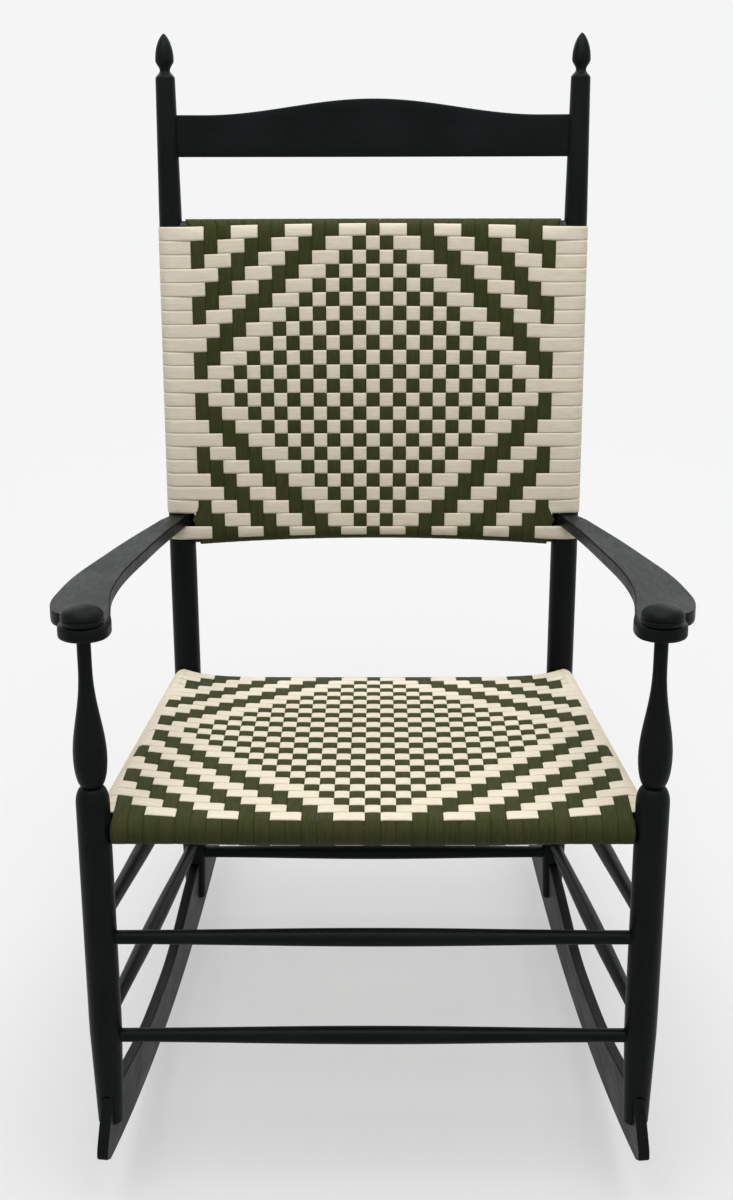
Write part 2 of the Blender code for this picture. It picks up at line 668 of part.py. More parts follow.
def make_arm(side_name, side):
    """An arm with its rear tenon, and the cutters for its mortise and its pin."""
    frame = arm_frame(side)
    mesh = plate(f"arm_{side_name}", lambda curve: arm_outline(curve, side), ARM_THICKNESS)
    arm = add_part(f"arm_{side_name}", mesh, BLACK_PAINT, chair, frame)
    rounding = arm.modifiers.new("edges", "BEVEL")
    rounding.width = ARM_EDGE
    rounding.segments = 2
    rounding.limit_method = "ANGLE"
    rounding.angle_limit = EDGE_ANGLE
    axis = arm_tail(side)
    tip = axis + Vector((0, ARM_TENON_PAST_AXIS, 0))
    inside = axis - Vector((0, ARM_TENON_LENGTH, 0))
    tenon = rod_cutter(f"arm_tenon_{side_name}", ARM_TENON_RADIUS, frame @ inside, frame @ tip, chair)
    combine(arm, "UNION", [tenon])
    hole = rod_cutter(
        f"front_post_hole_{side_name}",
        NECK_RADIUS + GAP,
        front_axis(side, ARM_HEIGHT - ARM_THICKNESS),
        front_axis(side, arm_top() + CAP_SOCKET + GAP),
        chair,
        POST_STEPS,
    )
    reach = Vector((back_radius(level_of(ARM_HEIGHT)) - PIN_RECESS, 0, 0))
    ends = (frame @ (axis - reach), frame @ (axis + reach))
    profile = rod_profile(ARM_PIN_RADIUS, 2 * reach.x)
    turned(f"arm_pin_{side_name}", profile, BLACK_PAINT, chair, along(*ends), PIN_STEPS)
    far = (frame @ (axis - 2 * reach), frame @ (axis + 2 * reach))
    pin_hole = rod_cutter(f"arm_pin_hole_{side_name}", ARM_PIN_RADIUS + GAP, *far, chair, PIN_STEPS)
    combine(arm, "DIFFERENCE", [hole, pin_hole])
    slack = Vector((0, GAP, 0))
    ends = (frame @ inside, frame @ (tip + slack))
    mortise = rod_cutter(f"arm_mortise_{side_name}", ARM_TENON_RADIUS + GAP, *ends, chair)
    return hole, [mortise, pin_hole]


def make_cap(side_name, side, hole):
    """The mushroom cap that covers the front post's tenon on top of the arm."""
    base = ARM_THICKNESS / 2 + GAP
    rim = base + CAP_RIM
    profile = [(0, rim + CAP_DOME)]
    for i in range(1, DOME_STEPS + 1):
        angle = i / DOME_STEPS * math.pi / 2
        profile.append((CAP_RADIUS * math.sin(angle), rim + CAP_DOME * math.cos(angle)))
    profile += sweep((CAP_RADIUS, rim), (CAP_RADIUS - CAP_RIM / 2, base), CURVE_STEPS)
    profile.append((0, base))
    cap = turned(f"arm_cap_{side_name}", profile, BLACK_PAINT, chair, arm_frame(side), POST_STEPS)
    combine(cap, "DIFFERENCE", [hole])


def rocker_feet(side):
    """Middles of the front and back posts' feet, on the floor's axes."""
    front = CHAIR_FRAME @ front_axis(side, FRONT_FOOT_HEIGHT)
    back = CHAIR_FRAME @ back_axis(side, level_of(BACK_FOOT_HEIGHT))
    return front, back


def rocker_frame(side):
    """Upright plane of a rocker: X along the floor to the back, Y up, from the front foot."""
    front, back = rocker_feet(side)
    heading = math.atan2(back.y - front.y, back.x - front.x)
    placed = Matrix.Translation((front.x, front.y, 0))
    return placed @ Matrix.Rotation(heading, 4, "Z") @ Matrix.Rotation(math.pi / 2, 4, "X")


def rocker_stations(side):
    """Runs along the sole from where it rests to the front and back posts, and X of the rest."""
    front, back = rocker_feet(side)
    to_rocker = rocker_frame(side).inverted()
    low = CHAIR_FRAME @ Vector((0, SOLE_LOW_POINT, SOLE_RADIUS))
    slant = (back - front).xy.length / (back.y - front.y)
    rest = (low.y - front.y) * slant
    far = to_rocker @ back
    front_angle = -math.atan2(rest, SOLE_CENTRE - front.z)
    back_angle = math.atan2(far.x - rest, SOLE_CENTRE - back.z)
    return front_angle * SOLE_RADIUS, back_angle * SOLE_RADIUS, rest


def rocker_depth(run, front, back):
    rise = ROCKER_FRONT_RISE * ease(max(0, 1 - abs(run - front) / ROCKER_RISE_REACH))
    rise += ROCKER_BACK_RISE * ease(max(0, 1 - abs(run - back) / ROCKER_RISE_REACH))
    return ROCKER_DEPTH + rise


def rocker_pins(side):
    """Where the pins cross the posts' axes, halfway from each foot to the rocker's top."""
    front_run, back_run, rest = rocker_stations(side)
    centre = rocker_frame(side) @ Vector((rest, SOLE_CENTRE, 0))
    turn = CHAIR_FRAME.to_3x3()
    axes = (turn @ front_direction(side).normalized(), turn @ back_direction(side))
    pins = []
    for foot, run, axis in zip(rocker_feet(side), (front_run, back_run), axes):
        top = SOLE_RADIUS - rocker_depth(run, front_run, back_run)
        pins.append(foot + axis * ((foot - centre).length - top) / 2)
    return pins


def rocker_outline(curve, side, grow):
    """Side view of a rocker: sole of short flats, nose, humps at the posts and round tail.

    A grown outline is a slot: deeper by the clearance, and open below the sole.
    """
    front, back, rest = rocker_stations(side)
    nose = front - NOSE_REACH
    tail = back + TAIL_REACH
    first = math.ceil((nose + NOSE_ROUND - SOLE_FACET / 2) / SOLE_FACET)
    last = math.floor((tail - TAIL_ROUND - SOLE_FACET / 2) / SOLE_FACET)
    sole = [nose + NOSE_ROUND] + [(i + 0.5) * SOLE_FACET for i in range(first, last + 1)]
    path = [(run, -SLOT_OVERRUN if grow else 0) for run in sole]
    for i in range(TAIL_STEPS + 1):
        angle = i / TAIL_STEPS * math.pi - math.pi / 2
        run = tail - TAIL_ROUND + TAIL_ROUND * math.cos(angle)
        path.append((run, TAIL_DEPTH / 2 * (1 + math.sin(angle))))
    top_first = front - NOSE_SETBACK
    top_last = tail - TAIL_FALL
    count = round((top_last - top_first) / TOP_FACET)
    for i in range(count, -1, -1):
        run = top_first + (top_last - top_first) * i / count
        path.append((run, rocker_depth(run, front, back) + grow))
    path += [(nose, NOSE_DEPTH), (nose, NOSE_LIFT)]
    spline = curve.splines.new("POLY")
    spline.use_cyclic_u = True
    spline.points.add(len(path) - 1)
    for point, (run, depth) in zip(spline.points, path):
        angle = run / SOLE_RADIUS
        reach = SOLE_RADIUS - depth
        point.co = (rest + reach * math.sin(angle), SOLE_CENTRE - reach * math.cos(angle), 0, 1)


def make_rocker(side_name, side):
    """A rocker with its two pins, and the cutters for the slot and pin holes of the posts."""
    frame = rocker_frame(side)
    name = f"rocker_{side_name}"
    mesh = plate(name, lambda curve: rocker_outline(curve, side, 0), ROCKER_THICKNESS)
    rocker = add_part(name, mesh, BLACK_PAINT, root, frame)
    width = ROCKER_THICKNESS + 2 * GAP
    mesh = plate(f"{name}_slot", lambda curve: rocker_outline(curve, side, GAP), width)
    slot = add_cutter(f"{name}_slot", mesh, root, frame)
    across = frame.to_3x3() @ Vector((0, 0, 1))
    holes = {}
    radii = {"front": FRONT_FOOT_RADIUS, "back": BACK_FOOT_RADIUS}
    for (where, radius), centre in zip(radii.items(), rocker_pins(side)):
        reach = across * (radius - PIN_RECESS)
        ends = (centre - reach, centre + reach)
        pin = f"rocker_pin_{where}_{side_name}"
        profile = rod_profile(ROCKER_PIN_RADIUS, 2 * reach.length)
        turned(pin, profile, BLACK_PAINT, root, along(*ends), PIN_STEPS)
        far = (centre - 2 * reach, centre + 2 * reach)
        holes[where] = rod_cutter(f"{pin}_hole", ROCKER_PIN_RADIUS + GAP, *far, root, PIN_STEPS)
    combine(rocker, "DIFFERENCE", list(holes.values()))
    return slot, holes


def seat_side(y):
    """X and height of the side seat rung's axis at a distance behind the front posts."""
    front = front_axis(1, SEAT_SIDE_RUNG_FRONT)
    back = back_axis(1, level_of(SEAT_SIDE_RUNG_BACK))
    point = front.lerp(back, (y - front.y) / (back.y - front.y))
    return point.x, point.z


def seat_back_y():
    return back_axis(1, level_of(SEAT_BACK_RUNG_HEIGHT)).y


def strips_between(half_spread_of_axes, radius):
    """How many tape strips lie side by side between two posts."""
    return math.floor(2 * (half_spread_of_axes - radius - GAP) / TAPE_WIDTH)


def seat_edge(y):
    """Half width of the seat's warp at a distance behind the front posts."""
    back_level = level_of(SEAT_BACK_RUNG_HEIGHT)
    front = strips_between(FRONT_SPREAD / 2, FRONT_POST_RADIUS) * TAPE_WIDTH / 2
    back = strips_between(half_spread(back_level), BACK_POST_RADIUS) * TAPE_WIDTH / 2
    return front + (back - front) * min(1, max(0, y / seat_back_y()))


def seat_surface(x, y, face, depth):
    """Height of the woven seat's upper (face 1) or lower (face -1) surface, less a depth into it."""
    t = y / seat_back_y()
    roll = roll_radius(SEAT_RUNG_RADIUS) + TAPE_THICKNESS
    cover = WEAVE_GAP + TAPE_THICKNESS
    side_x, side_z = seat_side(y)
    front = SEAT_FRONT_RUNG_HEIGHT + face * (roll + cover)
    back = SEAT_BACK_RUNG_HEIGHT + face * (roll + cover)
    middle = front + (back - front) * t
    if face > 0:
        middle += SEAT_CROWN * 4 * t * (1 - t)
    sideways = abs(x / side_x) ** SEAT_CROWN_POWER * (1 - (2 * t - 1) ** 4)
    return middle + (side_z + face * roll - middle) * sideways - face * depth


def seat_column(i):
    """Share of the seat's half width at a column, closer together towards the edges."""
    return math.sin((i / SEAT_COLUMNS - 0.5) * math.pi)


def seat_row(i):
    """Y of a row of the seat's grid, from the front posts' rear to the back posts' front."""
    first = front_radius(SEAT_SIDE_RUNG_FRONT) + 2 * GAP
    last = seat_back_y() - back_radius(level_of(SEAT_SIDE_RUNG_BACK)) - 2 * GAP
    return first + (last - first) * i / SEAT_ROWS


def roll_radius(radius):
    """Radius of a tape's inner corners round a rung or post, whose flats then clear it."""
    return (radius + GAP) / math.cos(math.pi / 2 / ROLL_STEPS)


def arc_points(centre, radius, first, last, count):
    for i in range(count + 1):
        angle = first + (last - first) * i / count
        yield centre[0] + radius * math.cos(angle), centre[1] + radius * math.sin(angle)


def roll_points(centre, radius, enter, leave, turn, count):
    """Points of a taut tape that comes from one point, rolls over a round rung and goes to another.

    A turn of 1 rolls anticlockwise and -1 clockwise, in the plane of the points.
    """

    def touch(point, sense):
        dx = point[0] - centre[0]
        dz = point[1] - centre[1]
        return math.atan2(dz, dx) + sense * math.acos(radius / math.hypot(dx, dz))

    first = touch(enter, turn)
    swept = (turn * (touch(leave, -turn) - first)) % (2 * math.pi)
    corner = radius / math.cos(swept / count / 2)
    return list(arc_points(centre, corner, first, first + turn * swept, count))


def seat_warp_ring(share):
    """Inner face of the warp along the seat, round the front and back rungs."""
    depth = 2 * TAPE_THICKNESS + WEAVE_GAP
    radius = roll_radius(SEAT_RUNG_RADIUS)
    rows = [seat_row(i) for i in range(SEAT_ROWS + 1)]
    lower = [(y, seat_surface(share * seat_edge(y), y, -1, depth)) for y in rows]
    upper = [(y, seat_surface(share * seat_edge(y), y, 1, depth)) for y in reversed(rows)]
    front = (0, SEAT_FRONT_RUNG_HEIGHT)
    back = (seat_back_y(), SEAT_BACK_RUNG_HEIGHT)
    ring = roll_points(front, radius, upper[-1], lower[0], 1, ROLL_STEPS) + lower
    ring += roll_points(back, radius, lower[-1], upper[0], 1, ROLL_STEPS) + upper
    return [Vector((share * seat_edge(y), y, z)) for y, z in ring]


def seat_weft_ring(y):
    """Inner face of the weft across the seat, round the two side rungs."""
    side_x, side_z = seat_side(y)
    radius = roll_radius(SEAT_RUNG_RADIUS)
    columns = [seat_column(i) * seat_edge(y) for i in range(SEAT_COLUMNS + 1)]
    upper = [(x, seat_surface(x, y, 1, TAPE_THICKNESS)) for x in columns]
    lower = [(x, seat_surface(x, y, -1, TAPE_THICKNESS)) for x in reversed(columns)]
    ring = roll_points((side_x, side_z), radius, upper[-1], lower[0], -1, ROLL_STEPS) + lower
    ring += roll_points((-side_x, side_z), radius, lower[-1], upper[0], -1, ROLL_STEPS) + upper
    return [Vector((x, y, z)) for x, z in ring]


def make_seat_tapes():
    warp_rings = [seat_warp_ring(seat_column(i)) for i in range(SEAT_COLUMNS + 1)]
    weft_rings = [seat_weft_ring(seat_row(i)) for i in range(SEAT_ROWS + 1)]
    for name, rings, finish in (
        ("seat_warp_tape", warp_rings, GREEN_TAPE),
        ("seat_weft_tape", weft_rings, CREAM_TAPE),
    ):
        mesh = ring_tube(rings)
        obj = add_part(name, mesh, finish, chair)
        solidify(obj, TAPE_THICKNESS, 1)
        split_alike(obj)


def ring_tube(rings):
    """Open tube through equal rings of points, with its faces pointing out."""
    around = len(rings[0])

    def place(u, v):
        return rings[round(v * (len(rings) - 1))][round(u * around) % around]

    return mapped_grid(around, len(rings) - 1, place, closed=True)


def make_seat_pad():
    """Crowned foam pad between the rungs, inside both layers of tape."""
    depth = 2 * (TAPE_THICKNESS + WEAVE_GAP)

    def build(bm):
        bmesh.ops.create_grid(bm, x_segments=SEAT_COLUMNS, y_segments=SEAT_ROWS, size=1)
        lower = bmesh.ops.extrude_face_region(bm, geom=bm.faces[:])["geom"]
        for item in lower:
            if isinstance(item, bmesh.types.BMVert):
                item.co.z = -1
        for vert in bm.verts:
            y = seat_row((vert.co.y + 1) / 2 * SEAT_ROWS)
            x = seat_column((vert.co.x + 1) / 2 * SEAT_COLUMNS) * seat_edge(y)
            face = -1 if vert.co.z < 0 else 1
            vert.co = (x, y, seat_surface(x, y, face, depth))
        bmesh.ops.recalc_face_normals(bm, faces=bm.faces)

    split_alike(add_part("seat_foam_pad", mesh_from(build), FOAM, chair))


def panel_half_thickness(level):
    """Half thickness of the warp's inner face in the back panel, narrowing to its rungs."""
    field = back_radius(level) - WEAVE_GAP - TAPE_THICKNESS
    return max(field, roll_radius(BACK_RUNG_RADIUS))


def panel_half_width():
    return strips_between(half_spread(PANEL_BOTTOM_RUNG_LEVEL), BACK_POST_RADIUS) * TAPE_WIDTH / 2


def make_back_tapes():
    """The back's warp round its two rungs, and its weft round the two posts."""
    half_width = panel_half_width()
    low = PANEL_BOTTOM_RUNG_LEVEL
    high = PANEL_TOP_RUNG_LEVEL
    radius = roll_radius(BACK_RUNG_RADIUS)
    section = list(arc_points((0, high), radius, 0, math.pi, ROLL_STEPS))
    section += [(-panel_half_thickness(level), level) for level in (high - PANEL_ROLL, low + PANEL_ROLL)]
    section += arc_points((0, low), radius, math.pi, 2 * math.pi, ROLL_STEPS)
    section += [(panel_half_thickness(level), level) for level in (low + PANEL_ROLL, high - PANEL_ROLL)]
    rings = [[Vector((x, n, level)) for n, level in section] for x in (half_width, -half_width)]
    warp = add_part("back_warp_tape", ring_tube(rings), GREEN_TAPE, chair, BACK_FRAME)
    solidify(warp, TAPE_THICKNESS, 1)

    top = PANEL_TOP_RUNG_LEVEL + PANEL_ROW_REACH
    bottom = PANEL_BOTTOM_RUNG_LEVEL - PANEL_ROW_REACH
    rings = []
    for level in [top, *(b for b in (BACK_SLIM_LEVEL, BACK_UPPER_LEVEL) if bottom < b < top), bottom]:
        radius = roll_radius(back_radius(level))
        x = half_spread(level)
        ring = list(arc_points((x, 0), radius, -math.pi / 2, math.pi / 2, ROLL_STEPS))
        ring += arc_points((-x, 0), radius, math.pi / 2, 1.5 * math.pi, ROLL_STEPS)
        rings.append([Vector((*point, level)) for point in ring])
    weft = add_part("back_weft_tape", ring_tube(rings), CREAM_TAPE, chair, BACK_FRAME)
    solidify(weft, TAPE_THICKNESS, 1)
    return weft


def cut_arm_gaps(weft):
    """The weft row at each arm turns back before the post, so that the arm reaches it."""
    notches = []
    for side_name, side in SIDES.items():
        entry = BACK_FRAME.inverted() @ arm_frame(side) @ arm_tail(side)
        clear = ARM_THICKNESS / 2 + ARM_ROW_CLEARANCE
        reach = back_radius(entry.z) * 2
        inner = side * (abs(entry.x) - back_radius(entry.z) - ARM_ROW_CLEARANCE)
        outer = side * (abs(entry.x) + reach)
        low = Vector((min(inner, outer), -reach, entry.z - clear))
        high = Vector((max(inner, outer), reach, entry.z + clear))
        notch = box_cutter(f"arm_gap_{side_name}", low, high, chair)
        notch.matrix_local = BACK_FRAME
        notches.append(notch)
    combine(weft, "DIFFERENCE", notches)


def make_back_pad():
    half_width = panel_half_width() - WEAVE_GAP
    low = PANEL_BOTTOM_RUNG_LEVEL + PANEL_ROLL
    high = PANEL_TOP_RUNG_LEVEL - PANEL_ROLL

    def build(bm):
        bmesh.ops.create_cube(bm, size=2)
        for vert in bm.verts:
            level = high if vert.co.z > 0 else low
            depth = panel_half_thickness(level) - WEAVE_GAP
            vert.co = Vector((vert.co.x * half_width, vert.co.y * depth, level))

    add_part("back_foam_pad", mesh_from(build), FOAM, chair, BACK_FRAME)


def make_tack(name, seat, inward):
    """A tape tack driven inward at a seat on a rung's surface, and its hole's cutter."""
    head = seat - inward * (TACK_HEAD + GAP)
    profile = [
        (0, TACK_LENGTH),
        (TACK_SHANK_RADIUS, TACK_LENGTH - TACK_SHANK_RADIUS),
        (TACK_SHANK_RADIUS, TACK_HEAD),
        (TACK_HEAD_RADIUS, TACK_HEAD),
        (TACK_CROWN_RADIUS, 0),
        (0, 0),
    ]
    placed = along(head, head + inward)
    turned(name, profile, STEEL, chair, placed, PIN_STEPS)
    far = head + inward * (TACK_LENGTH + GAP)
    return rod_cutter(f"{name}_hole", TACK_SHANK_RADIUS + GAP, head, far, chair, PIN_STEPS)


def make_tacks(seat_rung, panel_rung):
    """Two tacks hold the seat's tape ends to a side rung, and two the back's to the lower rung."""
    offsets = {"warp": -TACK_SPACING / 2, "weft": TACK_SPACING / 2}
    seat_holes = []
    panel_holes = []
    down = BACK_FRAME.to_3x3() @ Vector((0, 0, -1))
    for layer, offset in offsets.items():
        y = seat_back_y() / 2 + offset
        x, z = seat_side(y)
        seat = Vector((x - SEAT_RUNG_RADIUS, y, z))
        seat_holes.append(make_tack(f"tack_seat_{layer}", seat, Vector((1, 0, 0))))
        seat = BACK_FRAME @ Vector((offset, 0, PANEL_BOTTOM_RUNG_LEVEL + BACK_RUNG_RADIUS))
        panel_holes.append(make_tack(f"tack_back_{layer}", seat, down))
    combine(seat_rung, "DIFFERENCE", seat_holes)
    combine(panel_rung, "DIFFERENCE", panel_holes)


def centre_on_floor():
    """Moves the whole chair along Y until the origin lies under the middle of its box."""
    bpy.context.view_layer.update()
    graph = bpy.context.evaluated_depsgraph_get()
    depths = []
    for obj in parts.objects:
        if obj.type == "MESH":
            evaluated = obj.evaluated_get(graph)
            mesh = evaluated.to_mesh()
            depths += [(evaluated.matrix_world @ vert.co).y for vert in mesh.vertices]
            evaluated.to_mesh_clear()
    root.location.y -= (min(depths) + max(depths)) / 2


def main():
    slat, slat_mortise = make_slat()
    cross_cuts, hidden_rungs = make_cross_rungs()
    slat_pin_holes = []
    seat_rungs = {}
    for side_name, side in SIDES.items():
        seat_rungs[side_name], side_cuts = make_side_rungs(side_name, side)
        hole, arm_cuts = make_arm(side_name, side)
        make_cap(side_name, side, hole)
        slot, pin_holes = make_rocker(side_name, side)
        slat_pin_holes.append(make_slat_pin(side_name, side))
        front_post = make_front_post(f"front_post_{side_name}", side)
        combine(front_post, "DIFFERENCE", [*cross_cuts["front"], *side_cuts, slot, pin_holes["front"]])
        back_post = make_back_post(f"back_post_{side_name}", side)
        back_cuts = [*cross_cuts["back"], *side_cuts, *arm_cuts, slot, pin_holes["back"]]
        combine(back_post, "DIFFERENCE", [*back_cuts, slat_mortise, slat_pin_holes[-1]])
    combine(slat, "DIFFERENCE", slat_pin_holes)
    make_seat_tapes()
    make_seat_pad()
    cut_arm_gaps(make_back_tapes())
    make_back_pad()
    make_tacks(seat_rungs["left"], hidden_rungs["panel_rung_bottom"])
    centre_on_floor()


clear_scene()
parts = new_collection("shaker_rocking_chair")
cutters = new_collection("cutters")
root = new_empty("floor", Matrix())
chair = new_empty("chair", CHAIR_FRAME, root)
main()
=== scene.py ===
"""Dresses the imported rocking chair: turned and painted wood, two rockers, a woven seat and back.

Lengths are metres. The layout is worked out in the chair's own axes, in which the front posts
stand upright and heights count from the low point of the soles, and it is then leaned back to
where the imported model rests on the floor. X runs to the sitter's left, Y to the back and Z up.
"""

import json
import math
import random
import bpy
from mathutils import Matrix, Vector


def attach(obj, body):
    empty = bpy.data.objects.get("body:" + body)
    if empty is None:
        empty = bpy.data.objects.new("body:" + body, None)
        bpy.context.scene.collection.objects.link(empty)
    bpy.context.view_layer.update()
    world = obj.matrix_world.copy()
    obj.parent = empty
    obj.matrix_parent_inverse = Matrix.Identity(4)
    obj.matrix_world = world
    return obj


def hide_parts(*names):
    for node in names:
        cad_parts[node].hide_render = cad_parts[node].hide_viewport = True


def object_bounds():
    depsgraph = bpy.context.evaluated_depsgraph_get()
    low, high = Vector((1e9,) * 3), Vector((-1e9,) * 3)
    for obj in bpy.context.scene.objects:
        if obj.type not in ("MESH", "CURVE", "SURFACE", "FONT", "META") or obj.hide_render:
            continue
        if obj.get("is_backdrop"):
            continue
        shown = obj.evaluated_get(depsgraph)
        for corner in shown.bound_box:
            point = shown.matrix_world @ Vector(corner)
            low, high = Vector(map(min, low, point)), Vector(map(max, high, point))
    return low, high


bl_info = {
    "name": "Rocking chair with a woven seat",
    "version": (1, 0, 0),
    "blender": (4, 5, 0),
    "location": "View3D > Sidebar > Chair",
    "description": "Builds the visible pieces of a turned rocking chair around its packed frame",
    "category": "Object",
}

import bmesh
import bpy
from bpy.props import FloatProperty, FloatVectorProperty, IntProperty, PointerProperty
from bpy.types import Operator, Panel, PropertyGroup
from mathutils import Matrix, Vector

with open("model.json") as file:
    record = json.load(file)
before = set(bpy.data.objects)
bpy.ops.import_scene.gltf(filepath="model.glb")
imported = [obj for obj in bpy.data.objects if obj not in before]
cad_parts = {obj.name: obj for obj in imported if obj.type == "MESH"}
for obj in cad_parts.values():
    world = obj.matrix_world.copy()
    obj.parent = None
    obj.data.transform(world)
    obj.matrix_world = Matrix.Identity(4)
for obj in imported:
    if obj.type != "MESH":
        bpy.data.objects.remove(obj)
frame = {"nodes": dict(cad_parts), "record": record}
CAD_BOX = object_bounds()

NODES = frame["nodes"]
REST = Vector(frame["record"]["mounts"][0]["pos_m"])

SIDES = {"left": 1, "right": -1}
MERGE = 1e-6

# Degrees: above SHARP (BOARD_SHARP on boards, and nowhere on tape and foam) an edge shades as an edge,
# and above ROUNDED it is rounded off.
SHARP = 38
BOARD_SHARP = 50
SMOOTH = 180
ROUNDED = 40

# Steps of a rocker's sole, its tail, the slots in the feet and each stretch of a Bezier outline.
SOLE_STEPS = 120
TAIL_STEPS = 16
SLOT_STEPS = 12
CURVE_STEPS = 10

# The tape: points across a strip, the flat half and the crown of a strip's way over a crossing, points
# round a rung and round the panel's ends, and the margin that keeps a strip in its own map.
ACROSS = [0.5 + 0.5 * math.sin((i / 4 - 0.5) * math.pi) for i in range(5)]
FLAT = 0.3
CROWN = 1.12
ROLL_STOPS = 10
OUTSIDE = 1.0001
END_STOPS = 12
END_POWER = 0.8
MAP_MARGIN = 0.001

# Materials: the stretch of the wood's grain, the darker and warmer yarns of each dye and how much strips
# differ, ribs across a strip and the distance between picks.
GRAIN = {"upright": (1, 1, 0.05), "across": (0.05, 1, 1), "along": (1, 0.05, 1)}
DYES = {"green": ("green_dark", "green_brown", 0.24), "cream": ("cream_dark", "cream", 0.2)}
RIBS = 15
PICK_PITCH = 0.00115

# Lamps: the size that holds the watts, place and width. All look at AIM.
LAMPS = {
    "key_lamp": ("key", (-1.3, -2.1, 3.3), 2.6),
    "fill_lamp": ("fill", (2.4, -1.6, 1.9), 2.2),
    "top_lamp": ("top", (0, -0.1, 3.1), 3),
    "rim_lamp_left": ("rim", (1.6, 2.9, 2.2), 2.2),
    "rim_lamp_right": ("rim", (-1.6, 2.9, 2.2), 2.2),
}
AIM = Vector((0, 0, 0.5))
SHOWN_RAYS = ("Camera", "Glossy", "Transmission")


def length(description, millimetres):
    """A size that is given in millimetres and kept in metres."""
    return FloatProperty(description=description, default=millimetres / 1000, unit="LENGTH", precision=4)


def angle(description, degrees):
    return FloatProperty(description=description, default=math.radians(degrees), subtype="ANGLE")


def ratio(description, value):
    return FloatProperty(description=description, default=value)


def count(description, value):
    return IntProperty(description=description, default=value, min=1)


def colour(description, value):
    return FloatVectorProperty(description=description, default=value, size=3, min=0, max=1, subtype="COLOR")


class FrameSizes(PropertyGroup):
    front_spread: length("Between the front posts' axes", 560.6)
    back_spread: length("Between the back posts' axes at seat height", 470.6)
    seat_depth: length("From the front posts' axes to the back posts'", 474)
    seat_height: length("Above the low point of the soles", 390)
    back_lean: angle("Lean of the back posts from the front posts", 5)
    back_splay: angle("Outward splay of each back post", 0.6)
    rest_tilt: angle("Backward lean of the whole chair at rest", 11.1)
    sole_radius: length("Of the rockers' arc", 1350)
    sole_low: length("Behind the front posts when these are upright", 125)
    sole_flat: length("Length of the flat on which a rocker rests", 46)


class PostSizes(PropertyGroup):
    front_radius: length("Of the plain part of a front post", 17.1)
    front_foot_radius: length("At the end of the foot's taper", 13.2)
    front_foot_height: length("Of the post's end", 41)
    front_taper_height: length("Where the foot's taper starts", 150)
    shoulder_rise: length("Top of the plain post above the seat", 22.5)
    waist_rise: length("Groove under the vase above the seat", 40.5)
    waist_radius: length("In the groove under the vase", 9)
    belly_rise: length("Widest point of the vase above the seat", 73)
    belly_radius: length("Of the vase", 17)
    neck_radius: length("Under the arm", 7)
    neck_length: length("Straight stretch of the neck under the arm", 25.6)
    vase_skew: ratio("Above 1, the neck stays slim for longer", 1.2)
    back_radius: length("Of a back post near the seat", 16.35)
    back_foot_radius: length("At the end of the foot's taper", 12.2)
    back_foot_height: length("Of the post's end", 69.2)
    back_taper_height: length("Where the foot's taper starts", 175.8)
    back_upper: length("Level where the upper taper starts", 130)
    slim_radius: length("Of a back post above the woven panel", 13.4)
    slim_level: length("Where the post is that slim", 552)
    top_radius: length("Under the finial", 11.4)
    top_level: length("Shoulder under the finial", 701.5)
    finial_neck: length("Radius of the finial's neck", 6)
    finial_neck_rise: length("Above the shoulder", 9)
    finial_belly: length("Largest radius of the finial", 10.8)
    finial_belly_rise: length("Above the shoulder", 20.5)
    finial_rise: length("Of the tip above the shoulder", 50.5)
    finial_taper: ratio("Above 1, the tip is blunter", 1.45)
    slot_clearance: length("Between a foot and its rocker", 0.35)
    slot_room: ratio("Of the slot above the rocker, in halves of its width", 0.4)
    slot_reach: length("Half the length of the slot's cutter", 45)
    slot_below: length("From the sole down to the end of the cutter", 20)
    taper_blend: length("Over which a front post turns into its taper", 20)
    taper_soft: length("By which the post is slimmer where the taper starts", 0.2)
    edge: length("Rounding of the posts' sharp edges", 0.7)


class RungSizes(PropertyGroup):
    tenon_radius: length("Inside the posts", 5.75)
    tenon_past: length("Past the axis of the post", 2)
    end_radius: length("Of a stretcher where it enters a post", 7.3)
    middle_radius: length("Of a stretcher", 9.6)
    bury: length("How far a stretcher's body enters its post", 3)
    seat_radius: length("Of the rungs that carry the seat", 12)
    panel_radius: length("Of the rungs that carry the back", 8)
    front_upper: length("Height of the upper front stretcher", 260)
    front_lower: length("Height of the lower front stretcher", 144)
    back_lower: length("Height of the back stretcher", 129)
    side_upper_front: length("Height at the front post", 276)
    side_upper_back: length("Height at the back post", 248)
    side_lower_front: length("Height at the front post", 160)
    side_lower_back: length("Height at the back post", 141)
    seat_front: length("Height of its axis", 381)
    seat_back: length("Height of its axis", 350)
    seat_side_front: length("Height at the front post", 368)
    seat_side_back: length("Height at the back post", 368.5)
    panel_top: length("Level of its axis", 531)
    panel_bottom: length("Level of its axis", 156.5)


class SlatSizes(PropertyGroup):
    bottom: length("Level of the slat's lower edge", 612.5)
    end_height: length("At the posts", 48)
    arch: length("Rise of the ogee arch at the middle", 19)
    arch_reach: length("From the middle to where the arch runs out", 200)
    bow: length("How far the middle is bent backwards", 20)
    thickness: length("Of the bent slat", 7.5)
    edge: length("Rounding of the slat's edges", 1.9)


